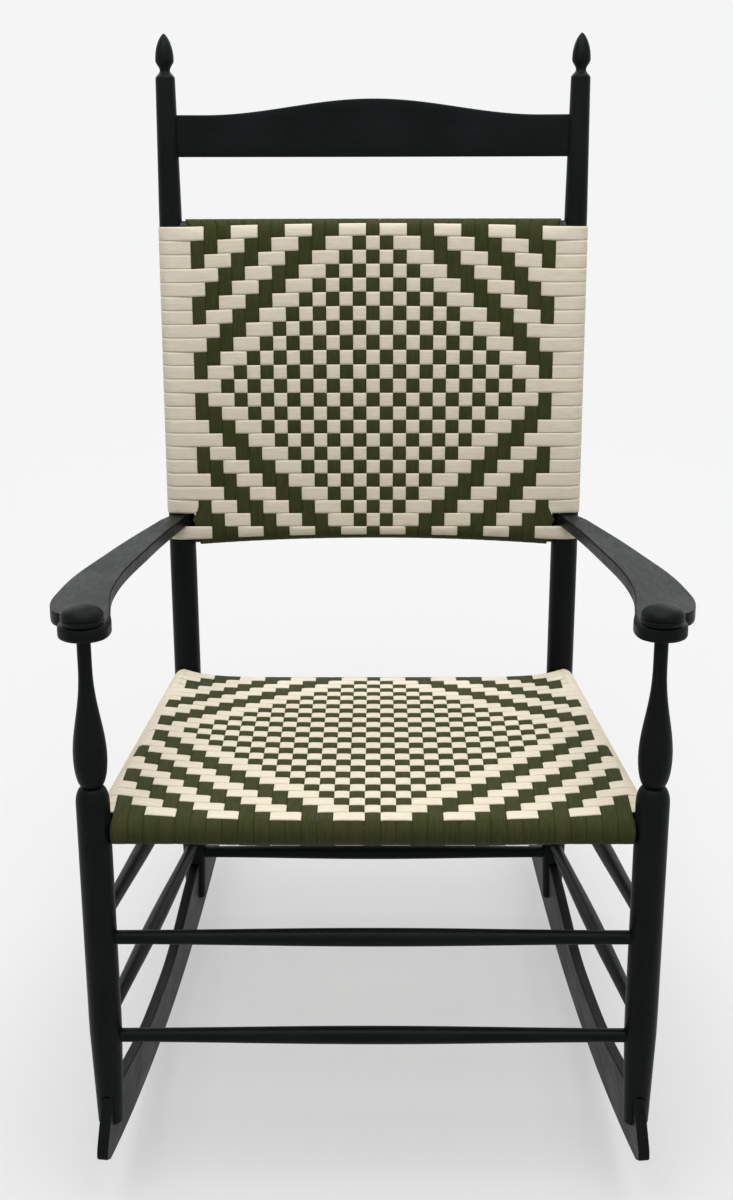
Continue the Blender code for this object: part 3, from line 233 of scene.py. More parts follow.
class ArmSizes(PropertyGroup):
    thickness: length("Of the arm's board", 15.5)
    rise: length("Underside at the front post above the seat", 196.5)
    slope: angle("Fall towards the back", 3.05)
    top_edge: length("Rounding of the upper edge", 1.5)
    lobe_edge: length("Rounding of the upper edge round the lobe", 5.5)
    low_edge: length("Rounding of the lower edge", 3.8)
    lobe: length("Of the round front end", 25.7)
    lobe_offset: length("Of its centre behind the post", 7)
    lobe_shift: length("Of its centre outward from the post", 0.5)
    notch_reach: length("Outward from the post to where the ear starts", 21.5)
    notch_setback: length("Behind the post", 30)
    ear_reach: length("Outward from the post", 41.5)
    ear_setback: length("Behind the post", 47)
    ear_round: length("Rounding of the ear's corner", 8)
    swell_reach: length("Outward from the post", 44.5)
    swell_setback: length("Behind the post", 128)
    waist_inset: length("Inward from the post", 10)
    waist_setback: length("Behind the post", 138)
    neck_inset: length("Inner edge behind the lobe", 20)
    neck_setback: length("Behind the post", 45)
    outer_bulge: length("Between the swell and the heel", 5.7)
    inner_bulge: length("Between the waist and the tail", 4.2)
    inner_setback: length("Of the inner bulge behind the outer", 34)
    heel_step: length("Outward from the tail to the heel's corner", 13.6)
    heel_length: length("From the heel's corner to the back post", 42)
    tail_width: length("Where the arm meets the back post", 17)
    tail_end: ratio("From the back post's axis to the arm's end, in the post's radii", 0.6)
    cap_radius: length("Of the mushroom cap", 21.5)
    cap_rim: length("Height of the cap's rim", 7)
    cap_dome: length("Rise of the cap above its rim", 12.5)
    cap_groove: length("Depth of the groove under the dome", 1.4)
    cap_collar: length("From the dome to the groove, and on to the collar", 1.6)
    cap_socket: length("How far the post stands into the cap", 9)
    cap_gap: length("Between the arm and its cap", 0.3)
    cap_edge: length("Rounding of the cap's edges", 0.6)


class RockerSizes(PropertyGroup):
    thickness: length("Of a rocker", 12)
    depth: length("From the sole to the upper edge", 54)
    front_rise: length("Extra depth at the front post", 13)
    back_rise: length("Extra depth at the back post", 24)
    rise_reach: length("Over which the extra depth runs out", 190)
    nose_reach: length("In front of the front post", 38)
    nose_setback: length("Where the upper edge starts to fall", 17)
    nose_depth: length("Of its upper corner above the sole", 17)
    nose_lift: length("Of its lower corner above the sole", 7)
    nose_round: length("From the nose back to the sole", 14)
    nose_blunt: length("By which the nose's corners are blunted", 1)
    tail_reach: length("Behind the back post", 245)
    tail_round: length("Of the rounded end", 16)
    tail_depth: length("Of the rounded end", 40.5)
    tail_fall: length("Over which the upper edge falls to the tail", 54)
    edge: length("Rounding of the rocker's edges", 1.6)


class WeaveSizes(PropertyGroup):
    tape_width: length("Pitch of the warp", 15.88)
    tape_gap: length("Between neighbouring strips", 0.06)
    thickness: length("Of one strip", 1.05)
    lift: length("Of a strip that passes over, from the middle of the weave", 0.68)
    edge_drop: length("How far a strip's edges round off", 0.2)
    slack: length("Between the tape and the wood under it", 0.4)
    wander: length("How far strips stray from their lines", 0.22)
    seat_rows: count("Weft rows of the seat", 27)
    seat_first: length("Front edge of the first row, before the posts", -5)
    seat_pitch: length("Between weft rows", 16.74)
    seat_bend: length("How far the rows bend back at the sides", 30)
    bend_start: length("By which the first rows bend less", 8)
    bend_end: length("By which the last rows bend less", 23)
    bend_rows: count("How many first rows bend less", 3)
    bend_power: ratio("Above 1, rows bend only near the sides", 3.5)
    seat_fan: length("By which each outer column spreads behind the front posts", 0.4)
    fan_start: length("From the front posts to where the columns start to spread", 12)
    fan_reach: length("Over which they spread", 50)
    rung_inset: length("From a side rung's axis to the flat weave", 1.5)
    spare: length("By which an outer strip may pass the flat weave", 2)
    closing: length("Over which the outer strips close up at the side rungs", 4)
    seat_crown: length("Swell of the padded seat", 8)
    rear_lift: length("Of the padded seat above its back rung", 5.5)
    rise_power: ratio("Above 1, the weave rises only near the side rungs", 10)
    fall_power: ratio("The same where it falls to them", 90)
    under_power: ratio("The same on the underside", 12)
    side_fall: ratio("Share of the way down to the side rungs", 0.6)
    back_rows: count("Weft rows of the back", 23)
    back_columns: count("Half the warp strips beside the middle one", 13)
    front_columns: count("The same at the seat's front", 16)
    row_reach: length("Of the outer rows past the panel rungs", 1.2)
    panel_round: length("Height of the rounded upper and lower ends", 22.5)
    panel_gap: length("Between the posts' faces and the middle of the weave", 0.05)
    panel_power: ratio("Above 2, the ends are squarer than an ellipse", 2.2)
    top_bow: length("How far the upper rows rise at the middle", 6)
    bottom_bow: length("How far the lower end is drawn up at the middle", 8)
    bow_start: ratio("Share of the panel's height under the bowed rows", 0.46)
    bow_run: ratio("Share of the height over which the bow sets in", 0.32)
    crest_hold: ratio("Share of the bow that the top rung holds down", 0.95)
    crest_run: length("Over which the top rung holds it down", 14)
    foot_run: length("Over which the lower end is drawn up", 24)
    back_fan: ratio("Share by which the columns spread to the top", 0.012)
    crest_fan: ratio("Share by which they spread over the top rung", 0.03)
    arm_spread: length("Of the outermost columns beside the arms", 8)
    arm_row: count("Row of the back that stops at the arms", 21)
    arm_rows: ratio("Rows over which the outermost columns spread", 0.9)
    turn_bulge: length("Of the row that turns back before the arms", 2.5)
    turn_start: length("The same where it starts to turn", 0.6)
    turn_margin: ratio("Share of the turn that is left out at each end", 0.02)


class PadSizes(PropertyGroup):
    clearance: length("Between a pad and the tape", 2.2)
    rim: ratio("Share of the thickness at the rim", 0.35)
    power: ratio("Above 2, the thickness falls off only near the rim", 10)
    waist: ratio("Share by which the sides draw in at the middle", 0.006)
    seat_inset: length("From the flat weave to the seat pad's sides", 12)
    post_gap: length("Between the posts and the seat pad", 2)
    back_inset: length("From the outermost columns to the back pad", 4)
    end_inset: length("From the outer rows to the back pad", 22)


class Finishes(PropertyGroup):
    black: colour("Satin paint of the frame", (0.0042, 0.0054, 0.0056))
    black_worn: colour("Where the paint is thinner", (0.008, 0.0096, 0.0101))
    green: colour("Olive cotton", (0.047, 0.057, 0.0145))
    # Also the colour of the painted shade along the green strips' edges.
    green_dark: colour("Darker yarns", (0.021, 0.0265, 0.0068))
    green_brown: colour("Browner yarns", (0.066, 0.056, 0.026))
    cream: colour("Unbleached cotton", (0.80, 0.74, 0.60))
    # Also the colour of the painted shade along the cream strips' edges.
    cream_dark: colour("Darker yarns", (0.64, 0.56, 0.43))
    foam: colour("Padding", (0.72, 0.64, 0.44))
    wood: colour("Hidden rungs", (0.46, 0.28, 0.14))
    wood_dark: colour("Late wood of the hidden rungs", (0.27, 0.14, 0.06))
    steel: colour("Tacks", (0.36, 0.36, 0.37))
    floor: colour("Plain pale floor", (0.76, 0.753, 0.743))
    backdrop: colour("Pale backdrop and even light", (0.99, 0.993, 1))


class StageSizes(PropertyGroup):
    lens: length("Focal length on a 36 mm sensor", 52.27)
    sensor: length("Width of the sensor", 36)
    clip_end: length("How far the camera sees", 50000)
    across: length("To the sitter's left", 5.46)
    distance: length("In front of the front posts", 1587.8)
    height: length("In the chair's own axes", 1162.1)
    pitch: angle("Downward, in the chair's own axes", 18.65)
    yaw: angle("To the sitter's left", -0.393)
    roll: angle("Clockwise", 0.166)
    backdrop: ratio("How bright the backdrop shows", 0.92)
    floor_glow: ratio("Share of the backdrop that shows in the floor by the chair", 0.5)
    floor_reach: length("From the chair to the floor's edges", 14000)
    floor_drop: length("Of the floor under the rockers", 0.3)
    fade_start: length("From the chair to where the floor starts to fade", 500)
    fade_end: length("From the chair to where only the backdrop shows", 1900)
    sky: ratio("Strength of the even light from all sides", 0.31)
    key: ratio("Watts of the large lamp above the front", 2)
    fill: ratio("Watts of the lamp from the other side", 2)
    top: ratio("Watts of the lamp overhead", 88)
    rim: ratio("Watts of each of the two lamps behind", 36)


class ChairSettings(PropertyGroup):
    frame: PointerProperty(type=FrameSizes)
    post: PointerProperty(type=PostSizes)
    rung: PointerProperty(type=RungSizes)
    slat: PointerProperty(type=SlatSizes)
    arm: PointerProperty(type=ArmSizes)
    rocker: PointerProperty(type=RockerSizes)
    weave: PointerProperty(type=WeaveSizes)
    pad: PointerProperty(type=PadSizes)
    finish: PointerProperty(type=Finishes)
    stage: PointerProperty(type=StageSizes)


class Wire:
    """A shader socket in a Python expression, which adds its Math nodes as it is worked out."""

    def __init__(self, maker, socket):
        self.maker = maker
        self.socket = socket

    def math(self, operation, other=None, first=False):
        values = [self] if other is None else [other, self] if first else [self, other]
        return self.maker.node("ShaderNodeMath", {"operation": operation}, dict(enumerate(values)))

    def __add__(self, other):
        return self.math("ADD", other)

    def __radd__(self, other):
        return self.math("ADD", other, True)

    def __sub__(self, other):
        return self.math("SUBTRACT", other)

    def __rsub__(self, other):
        return self.math("SUBTRACT", other, True)

    def __mul__(self, other):
        return self.math("MULTIPLY", other)

    def __truediv__(self, other):
        return self.math("DIVIDE", other)


class Maker:
    """A material or a world in the making: its node tree, and the one method that adds a node."""

    def __init__(self, name, kind="materials", shader="Principled BSDF"):
        self.made = getattr(bpy.data, kind).new(name)
        self.made.use_nodes = True
        self.tree = self.made.node_tree
        self.shader = self.tree.nodes[shader]

    def node(self, kind, settings=None, sockets=None, output=0):
        made = self.tree.nodes.new(kind)
        for name, value in (settings or {}).items():
            setattr(made, name, value)
        for name, value in (sockets or {}).items():
            self.feed(made.inputs[name], value)
        return Wire(self, made.outputs[output])

    def feed(self, socket, value):
        if isinstance(value, Wire):
            self.tree.links.new(value.socket, socket)
        else:
            socket.default_value = (*value, 1) if socket.type == "RGBA" else value

    def surface(self, **sockets):
        for name, value in sockets.items():
            self.feed(self.shader.inputs[name.replace("_", " ").title().replace("Ior", "IOR")], value)
        return self.made

    def place(self, scale=(1, 1, 1)):
        """Object coordinates, stretched where the scale is below 1."""
        where = self.node("ShaderNodeTexCoord", output="Object")
        return self.node("ShaderNodeMapping", sockets={"Vector": where, "Scale": scale})

    def part(self, vector, axis):
        return self.node("ShaderNodeSeparateXYZ", sockets={0: vector}, output=axis)

    def noise(self, where, scale, detail=2, roughness=0.5):
        sockets = {"Vector": where, "Scale": scale, "Detail": detail, "Roughness": roughness}
        return self.node("ShaderNodeTexNoise", sockets=sockets)

    def ramp(self, value, low, high):
        """The value spread from 0 at low to 1 at high."""
        sockets = {"Value": value, "From Min": low, "From Max": high}
        return self.node("ShaderNodeMapRange", {"clamp": True}, sockets)

    def mix(self, share, first, second):
        return self.node("ShaderNodeMix", {"data_type": "RGBA"}, {0: share, 6: first, 7: second}, output=2)

    def bump(self, height, distance, strength):
        sockets = {"Height": height, "Distance": distance, "Strength": strength}
        return self.node("ShaderNodeBump", sockets=sockets)

    def seen(self):
        """1 for a ray that shows the backdrop, straight or in a reflection, and 0 for one that lights."""
        rays = [self.node("ShaderNodeLightPath", output=f"Is {kind} Ray") for kind in SHOWN_RAYS]
        return rays[0].math("MAXIMUM", rays[1]).math("MAXIMUM", rays[2])


def finish(name):
    """Makes a material of that name at its first use, and finds it again after that."""

    def wrap(build):
        def find(tints, *kind):
            full = name.format(*kind)
            return bpy.data.materials.get(full) or build(Maker(full), tints, *kind)

        return find

    return wrap


@finish("black_paint_{}")
def black_paint(maker, tints, direction):
    """Satin paint over close wood grain that runs upright, across or along the chair."""
    plain = maker.place()
    along = maker.place(GRAIN[direction])
    cloud = maker.noise(plain, 14, 3)
    grain = maker.noise(along, 520, 4, 0.6)
    brush = maker.noise(along, 190)
    speck = maker.noise(plain, 950, 1)
    thin = maker.ramp(cloud * 0.55 + grain * 0.45, 0.44, 0.72)
    gloss = 0.31 + maker.ramp(cloud, 0.3, 0.7) * 0.1 + maker.ramp(brush, 0.35, 0.65) * 0.07
    relief = grain * 0.5 + brush * 0.35 + speck * 0.15
    shade = maker.mix(thin, tints.black, tints.black_worn)
    maker.surface(base_color=shade, roughness=gloss, normal=maker.bump(relief, 0.00022, 0.55))
    return maker.surface(specular_ior_level=0.065)


@finish("{}_tape_cloth")
def tape_cloth(maker, tints, dye):
    """Flat woven cotton tape: lengthwise ribs crossed by fine picks, each strip a little different.

    The strips' map runs along them in metres, and across them from one whole number to the next.
    """
    darker, warmer, contrast = DYES[dye]
    light, dark, warm = (getattr(tints, tint) for tint in (dye, darker, warmer))
    cloth = maker.node("ShaderNodeUVMap", {"uv_map": "tape"}, output="UV")
    along = maker.part(cloth, "X")
    across = maker.part(cloth, "Y")
    strip = across.math("FLOOR")
    side = across - strip
    rib_place = side * RIBS
    rib = rib_place.math("FLOOR")
    lift = (rib_place - rib - 0.5) * 2
    ridge = 1 - lift * lift
    turns = along / PICK_PITCH + rib.math("MODULO", 2) * 0.5
    pick = (turns * (2 * math.pi)).math("SINE") * 0.5 + 0.5
    thread = {"X": along * 42, "Y": strip * 7.31 + rib * 3.17}
    yarn = maker.noise(maker.node("ShaderNodeCombineXYZ", sockets=thread), 1)
    key = {"W": strip * 1.618 + 0.37}
    own = maker.node("ShaderNodeTexWhiteNoise", {"noise_dimensions": "1D"}, key, output="Value")
    fuzz = maker.noise(maker.place(), 900)
    # Painted shade: the colour darkens towards each strip's edges, as in the creases where strips meet.
    painted_crease_shade = maker.ramp((side - 0.5).math("ABSOLUTE"), 0.4, 0.5)
    shade = ridge * 0.3 + pick * 0.18 + maker.ramp(yarn, 0.3, 0.7) * 0.42 + fuzz * 0.1
    tone = maker.mix(maker.ramp(shade, 0.15, 0.85), dark, light)
    tinted = maker.mix(maker.ramp(yarn, 0.45, 0.8) * 0.35 + own * contrast, tone, warm)
    # Mixes the darker yarn colour in as painted shade along the strips' edges.
    crease_shaded = maker.mix(painted_crease_shade * 0.35, tinted, dark)
    relief = ridge * 0.5 + pick * 0.35 + fuzz * 0.15
    maker.surface(base_color=crease_shaded, roughness=0.93 - pick * 0.1, normal=maker.bump(relief, 0.0003, 0.7))
    return maker.surface(sheen_weight=0.02, sheen_roughness=0.6, specular_ior_level=0.1)


@finish("bare_maple")
def bare_wood(maker, tints):
    """Plain wood of the hidden rungs, painted near their ends, which may show beside the posts."""
    grain = maker.noise(maker.place((0.08, 0.08, 1)), 420, 4, 0.65)
    cloud = maker.noise(maker.place(), 20)
    plain = maker.mix(maker.ramp(grain, 0.42, 0.68), tints.wood, tints.wood_dark)
    aside = maker.part(maker.place(), "X").math("ABSOLUTE")
    shade = maker.mix(maker.ramp(aside + cloud * 0.01, 0.205, 0.209), plain, tints.black)
    normal = maker.bump(grain, 0.0003, 0.5)
    return maker.surface(base_color=shade, roughness=0.55 + cloud * 0.2, normal=normal)


@finish("tack_steel")
def steel(maker, tints):
    scratch = maker.noise(maker.place((1, 1, 0.1)), 1400)
    shade = maker.mix(maker.ramp(scratch, 0.35, 0.7), tints.steel, tints.steel * 0.6)
    normal = maker.bump(scratch, 0.0001, 0.4)
    return maker.surface(base_color=shade, roughness=0.28 + scratch * 0.25, metallic=1, normal=normal)


@finish("foam_cells")
def foam(maker, tints):
    cell = {"Vector": maker.place(), "Scale": 700}
    pore = maker.ramp(maker.node("ShaderNodeTexVoronoi", sockets=cell, output="Distance"), 0.15, 0.6)
    shade = maker.mix(pore, tints.foam * 0.62, tints.foam)
    return maker.surface(base_color=shade, roughness=0.88 + pore * 0.1, normal=maker.bump(pore, 0.0006, 0.8))


def ease(share):
    return 0.5 - 0.5 * math.cos(math.pi * share)


def clamp(share):
    return max(0, min(1, share))


def blend(first, last, share):
    return first + (last - first) * share


def sweep(start, end, steps, skew=1):
    """(radius, height) points of a smooth turned stretch, without its first point."""
    shares = [i / steps for i in range(1, steps + 1)]
    return [(blend(start[0], end[0], ease(part**skew)), blend(start[1], end[1], part)) for part in shares]


def bead(start, end, steps):
    """(radius, height) points of a quarter ellipse that ends in a groove, without its first point."""
    points = []
    for i in range(1, steps + 1):
        swing = i / steps * math.pi / 2
        points.append((blend(end[0], start[0], math.cos(swing)), blend(start[1], end[1], math.sin(swing))))
    return points


class Layout:
    """Where the pieces are, in the chair's own axes, and the lean that rests it on the floor."""

    def __init__(self, scene):
        self.scene = scene
        self.size = scene.rocking_chair
        sizes = self.size.frame
        start = Matrix.Translation((0, sizes.seat_depth, sizes.seat_height))
        self.back = start @ Matrix.Rotation(-sizes.back_lean, 4, "X")
        lean = Matrix.Rotation(-sizes.rest_tilt, 4, "X")
        hub = lean @ Vector((0, sizes.sole_low, sizes.sole_radius))
        self.hub_height = sizes.sole_radius * math.cos(sizes.sole_flat / sizes.sole_radius / 2)
        self.world = Matrix.Translation((0, REST.y - hub.y, self.hub_height - hub.z)) @ lean
        self.arm_height = sizes.seat_height + self.size.arm.rise

    def front_axis(self, side, height):
        return Vector((side * self.size.frame.front_spread / 2, 0, height))

    def level_of(self, height):
        """Distance along the back's lean of a height."""
        sizes = self.size.frame
        return (height - sizes.seat_height) / math.cos(sizes.back_lean)

    def half_spread(self, level):
        sizes = self.size.frame
        return sizes.back_spread / 2 + level * math.tan(sizes.back_splay)

    def back_axis(self, side, level):
        return self.back @ Vector((side * self.half_spread(level), 0, level))

    def front_joint(self, side, height):
        """A point on a front post's axis, and the post's radius there."""
        post = self.size.post
        share = (height - post.front_foot_height) / (post.front_taper_height - post.front_foot_height)
        radius = blend(post.front_foot_radius, post.front_radius, clamp(share))
        return self.front_axis(side, height), radius

    def back_joint(self, side, height):
        level = self.level_of(height)
        return self.back_axis(side, level), self.back_radius(level)

    def back_radius(self, level):
        post = self.size.post
        stations = (
            (self.level_of(post.back_foot_height), post.back_foot_radius),
            (self.level_of(post.back_taper_height), post.back_radius),
            (post.back_upper, post.back_radius),
            (post.slim_level, post.slim_radius),
            (post.top_level, post.top_radius),
        )
        for (low, first), (high, last) in zip(stations, stations[1:]):
            if level <= high:
                return blend(first, last, max(0, (level - low) / (high - low)))
        return post.top_radius

    def arm_frame(self, side):
        """The arm's middle plane, with the origin where the front post's axis meets it."""
        arm = self.size.arm
        middle = self.arm_height + arm.thickness / math.cos(arm.slope) / 2
        return Matrix.Translation(self.front_axis(side, middle)) @ Matrix.Rotation(-arm.slope, 4, "X")

    def arm_tail(self, side):
        """Where the arm's middle plane meets the back post's axis, in the arm's frame."""
        to_arm = self.arm_frame(side).inverted()
        low = to_arm @ self.back_axis(side, 0)
        high = to_arm @ self.back_axis(side, self.size.frame.seat_height)
        return low.lerp(high, low.z / (low.z - high.z))

    def seat_back(self):
        return self.back_axis(1, self.level_of(self.size.rung.seat_back)).y

    def seat_side(self, y):
        """X and height of the side seat rung's axis at a distance behind the front posts."""
        rung = self.size.rung
        front = self.front_axis(1, rung.seat_side_front)
        back = self.back_axis(1, self.level_of(rung.seat_side_back))
        point = front.lerp(back, (y - front.y) / (back.y - front.y))
        return point.x, point.z


class RockerLine:
    """A rocker's upright plane: X to the back, Y up. Runs along the sole count from where it rests."""

    def __init__(self, chair, side):
        post = chair.size.post
        self.chair = chair
        self.size = chair.size.rocker
        self.radius = chair.size.frame.sole_radius
        front = chair.world @ chair.front_axis(side, post.front_foot_height)
        back = chair.world @ chair.back_axis(side, chair.level_of(post.back_foot_height))
        heading = Matrix.Rotation(math.atan2(back.y - front.y, back.x - front.x), 4, "Z")
        placed = Matrix.Translation((front.x, front.y, 0))
        self.plane = placed @ heading @ Matrix.Rotation(math.pi / 2, 4, "X")
        far = self.plane.inverted() @ back
        slant = (back - front).xy.length / (back.y - front.y)
        self.rest = (REST.y - front.y) * slant
        self.front = -self.radius * math.atan2(self.rest, chair.hub_height - front.z)
        self.back = self.radius * math.atan2(far.x - self.rest, chair.hub_height - back.z)

    def depth(self, run):
        size = self.size
        rise = size.front_rise * ease(max(0, 1 - abs(run - self.front) / size.rise_reach))
        rise += size.back_rise * ease(max(0, 1 - abs(run - self.back) / size.rise_reach))
        return size.depth + rise

    def point(self, run, depth):
        """X and Y of a place that deep above the sole."""
        turned = run / self.radius
        reach = self.chair.hub_height - depth
        return self.rest + reach * math.sin(turned), self.chair.hub_height - reach * math.cos(turned)

    def outline(self):
        """Side view of the rocker: round sole and tail, humps at the posts and blunt nose."""
        size = self.size
        nose = self.front - size.nose_reach
        tail = self.back + size.tail_reach
        first, last = nose + size.nose_round, tail - size.tail_round
        path = [(blend(first, last, i / SOLE_STEPS), 0) for i in range(SOLE_STEPS)]
        for i in range(TAIL_STEPS + 1):
            swing = i / TAIL_STEPS * math.pi - math.pi / 2
            run = last + size.tail_round * math.cos(swing)
            path.append((run, size.tail_depth / 2 * (1 + math.sin(swing))))
        first, last = self.front - size.nose_setback, tail - size.tail_fall
        runs = [blend(first, last, i / SOLE_STEPS) for i in range(SOLE_STEPS, -1, -1)]
        path += [(run, self.depth(run)) for run in runs]
        blunt = size.nose_blunt
        path += [(nose + blunt, size.nose_depth + 3 * blunt), (nose, size.nose_depth - blunt)]
        path += [(nose, size.nose_lift + blunt), (nose + 2 * blunt, size.nose_lift - 1.5 * blunt)]
        return [self.point(run, depth) for run, depth in path]

    def slot(self, run):
        """Cutter for a post's foot: as wide as the rocker, and round at the top where it was bored."""
        post = self.chair.size.post
        half = self.size.thickness / 2 + post.slot_clearance
        middle = self.depth(run) + half * post.slot_room - half
        swings = [i / SLOT_STEPS * math.pi for i in range(SLOT_STEPS + 1)]
        places = [(-post.slot_below, half), (-post.slot_below, -half)]
        places += [(middle + half * math.sin(swing), -half * math.cos(swing)) for swing in swings]
        shape = bmesh.new()
        face = shape.faces.new([shape.verts.new((-post.slot_reach, *place)) for place in places])
        bmesh.ops.translate(shape, vec=(2 * post.slot_reach, 0, 0), verts=extrude(shape, [face]))
        bmesh.ops.recalc_face_normals(shape, faces=shape.faces)
        foot = Matrix.Translation((*self.point(run, 0), 0)) @ Matrix.Rotation(run / self.radius, 4, "Z")
        bmesh.ops.transform(shape, matrix=self.plane @ foot, verts=shape.verts)
        return shape


def add_object(name, data):
    made = bpy.data.objects.new(name, data)
    bpy.context.scene.collection.objects.link(made)
    return made


def mesh_of(name, shape):
    """A mesh from a bmesh, which it uses up."""
    mesh = bpy.data.meshes.new(name)
    shape.to_mesh(mesh)
    shape.free()
    return mesh


def evaluated_mesh(thing):
    """A new mesh of an object as its modifiers leave it, or of a curve."""
    bpy.context.view_layer.update()
    graph = bpy.context.evaluated_depsgraph_get()
    return bpy.data.meshes.new_from_object(thing.evaluated_get(graph))


def extrude(shape, faces):
    """The vertices of the far side of extruded faces, which are still in place."""
    raised = bmesh.ops.extrude_face_region(shape, geom=faces)["geom"]
    return [item for item in raised if isinstance(item, bmesh.types.BMVert)]


def add_piece(name, shape, material, node, sharp=SHARP):
    """A finished piece from a bmesh in the frame's place, which stands for the named node."""
    for face in shape.faces:
        face.smooth = True
    mesh = mesh_of(name, shape)
    mesh.set_sharp_from_angle(angle=math.radians(sharp))
    mesh.materials.append(material)
    piece = add_object(name, mesh)
    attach(piece, "root")
    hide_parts(node)
    return piece


def add_painted(chair, name, shape, direction, node, sharp=SHARP):
    """A piece of the painted frame, with its grain in that direction."""
    return add_piece(name, shape, black_paint(chair.size.finish, direction), node, sharp)


def turn(profile, place, steps=48):
    """A turned shape from (radius, height) points that run down its outer side."""
    shape = bmesh.new()
    points = [shape.verts.new((radius, 0, height)) for radius, height in profile]
    edges = [shape.edges.new(pair) for pair in zip(points, points[1:])]
    round_z = {"axis": (0, 0, 1), "angle": 2 * math.pi, "steps": steps, "use_merge": True}
    bmesh.ops.spin(shape, geom=points + edges, **round_z)
    bmesh.ops.remove_doubles(shape, verts=shape.verts, dist=MERGE)
    bmesh.ops.recalc_face_normals(shape, faces=shape.faces)
    bmesh.ops.transform(shape, matrix=place, verts=shape.verts)
    return shape


def outline_curve(places, handles=()):
    """A flat closed curve through (x, y) places: straight, or Bezier if it has types of handles."""
    curve = bpy.data.curves.new("outline", "CURVE")
    curve.dimensions = "2D"
    curve.fill_mode = "NONE"
    spline = curve.splines.new("BEZIER" if handles else "POLY")
    spline.use_cyclic_u = True
    spline.resolution_u = CURVE_STEPS
    points = spline.bezier_points if handles else spline.points
    points.add(len(places) - 1)
    for point, place in zip(points, places):
        point.co = (*place, 0) if handles else (*place, 0, 1)
    for point, handle in zip(points, handles):
        point.handle_left_type = handle
        point.handle_right_type = handle
    return curve


def board(curve, thickness, rounding, place):
    """A board of that outline about the XY plane, whose rims bear their shares of the rounding."""
    guide = add_object("outline", curve)
    mesh = evaluated_mesh(guide)
    bpy.data.objects.remove(guide)
    bpy.data.curves.remove(curve)
    shape = bmesh.new()
    shape.from_mesh(mesh)
    bpy.data.meshes.remove(mesh)
    bmesh.ops.remove_doubles(shape, verts=shape.verts, dist=MERGE)
    bmesh.ops.translate(shape, vec=(0, 0, -thickness / 2), verts=shape.verts)
    bmesh.ops.contextual_create(shape, geom=shape.edges[:])
    bmesh.ops.translate(shape, vec=(0, 0, thickness), verts=extrude(shape, shape.faces[:]))
    bmesh.ops.recalc_face_normals(shape, faces=shape.faces)
    weight = shape.edges.layers.float.new("bevel_weight_edge")
    for edge in shape.edges:
        middle = (edge.verts[0].co + edge.verts[1].co) / 2
        if abs(middle.z) > thickness / 4:
            edge[weight] = rounding(middle)
    bmesh.ops.transform(shape, matrix=place, verts=shape.verts)
    return shape


def cut(piece, shape):
    """Cuts a shape out of a piece and keeps the result in the piece's mesh."""
    before = piece.data
    mesh = mesh_of("cutter", shape)
    cutter = add_object("cutter", mesh)
    boolean = piece.modifiers.new("cut", "BOOLEAN")
    boolean.object = cutter
    boolean.solver = "EXACT"
    piece.data = evaluated_mesh(piece)
    piece.modifiers.clear()
    bpy.data.objects.remove(cutter)
    for used in (before, mesh):
        bpy.data.meshes.remove(used)
    piece.data.name = piece.name
    piece.data.set_sharp_from_angle(angle=math.radians(SHARP))


def round_edges(piece, width, segments, limit="ANGLE"):
    bevel = piece.modifiers.new("rounded edges", "BEVEL")
    bevel.limit_method = limit
    bevel.use_clamp_overlap = limit == "ANGLE"
    bevel.width = width
    bevel.segments = segments
    bevel.angle_limit = math.radians(ROUNDED)


def thicken(piece, thickness):
    wall = piece.modifiers.new("thickness", "SOLIDIFY")
    wall.thickness = thickness
    wall.offset = 0
    return wall


class Step:
    """What every operator does: it lays out the chair from its sizes and builds some of its pieces."""

    def execute(self, context):
        self.build(Layout(context.scene))
        return {"FINISHED"}


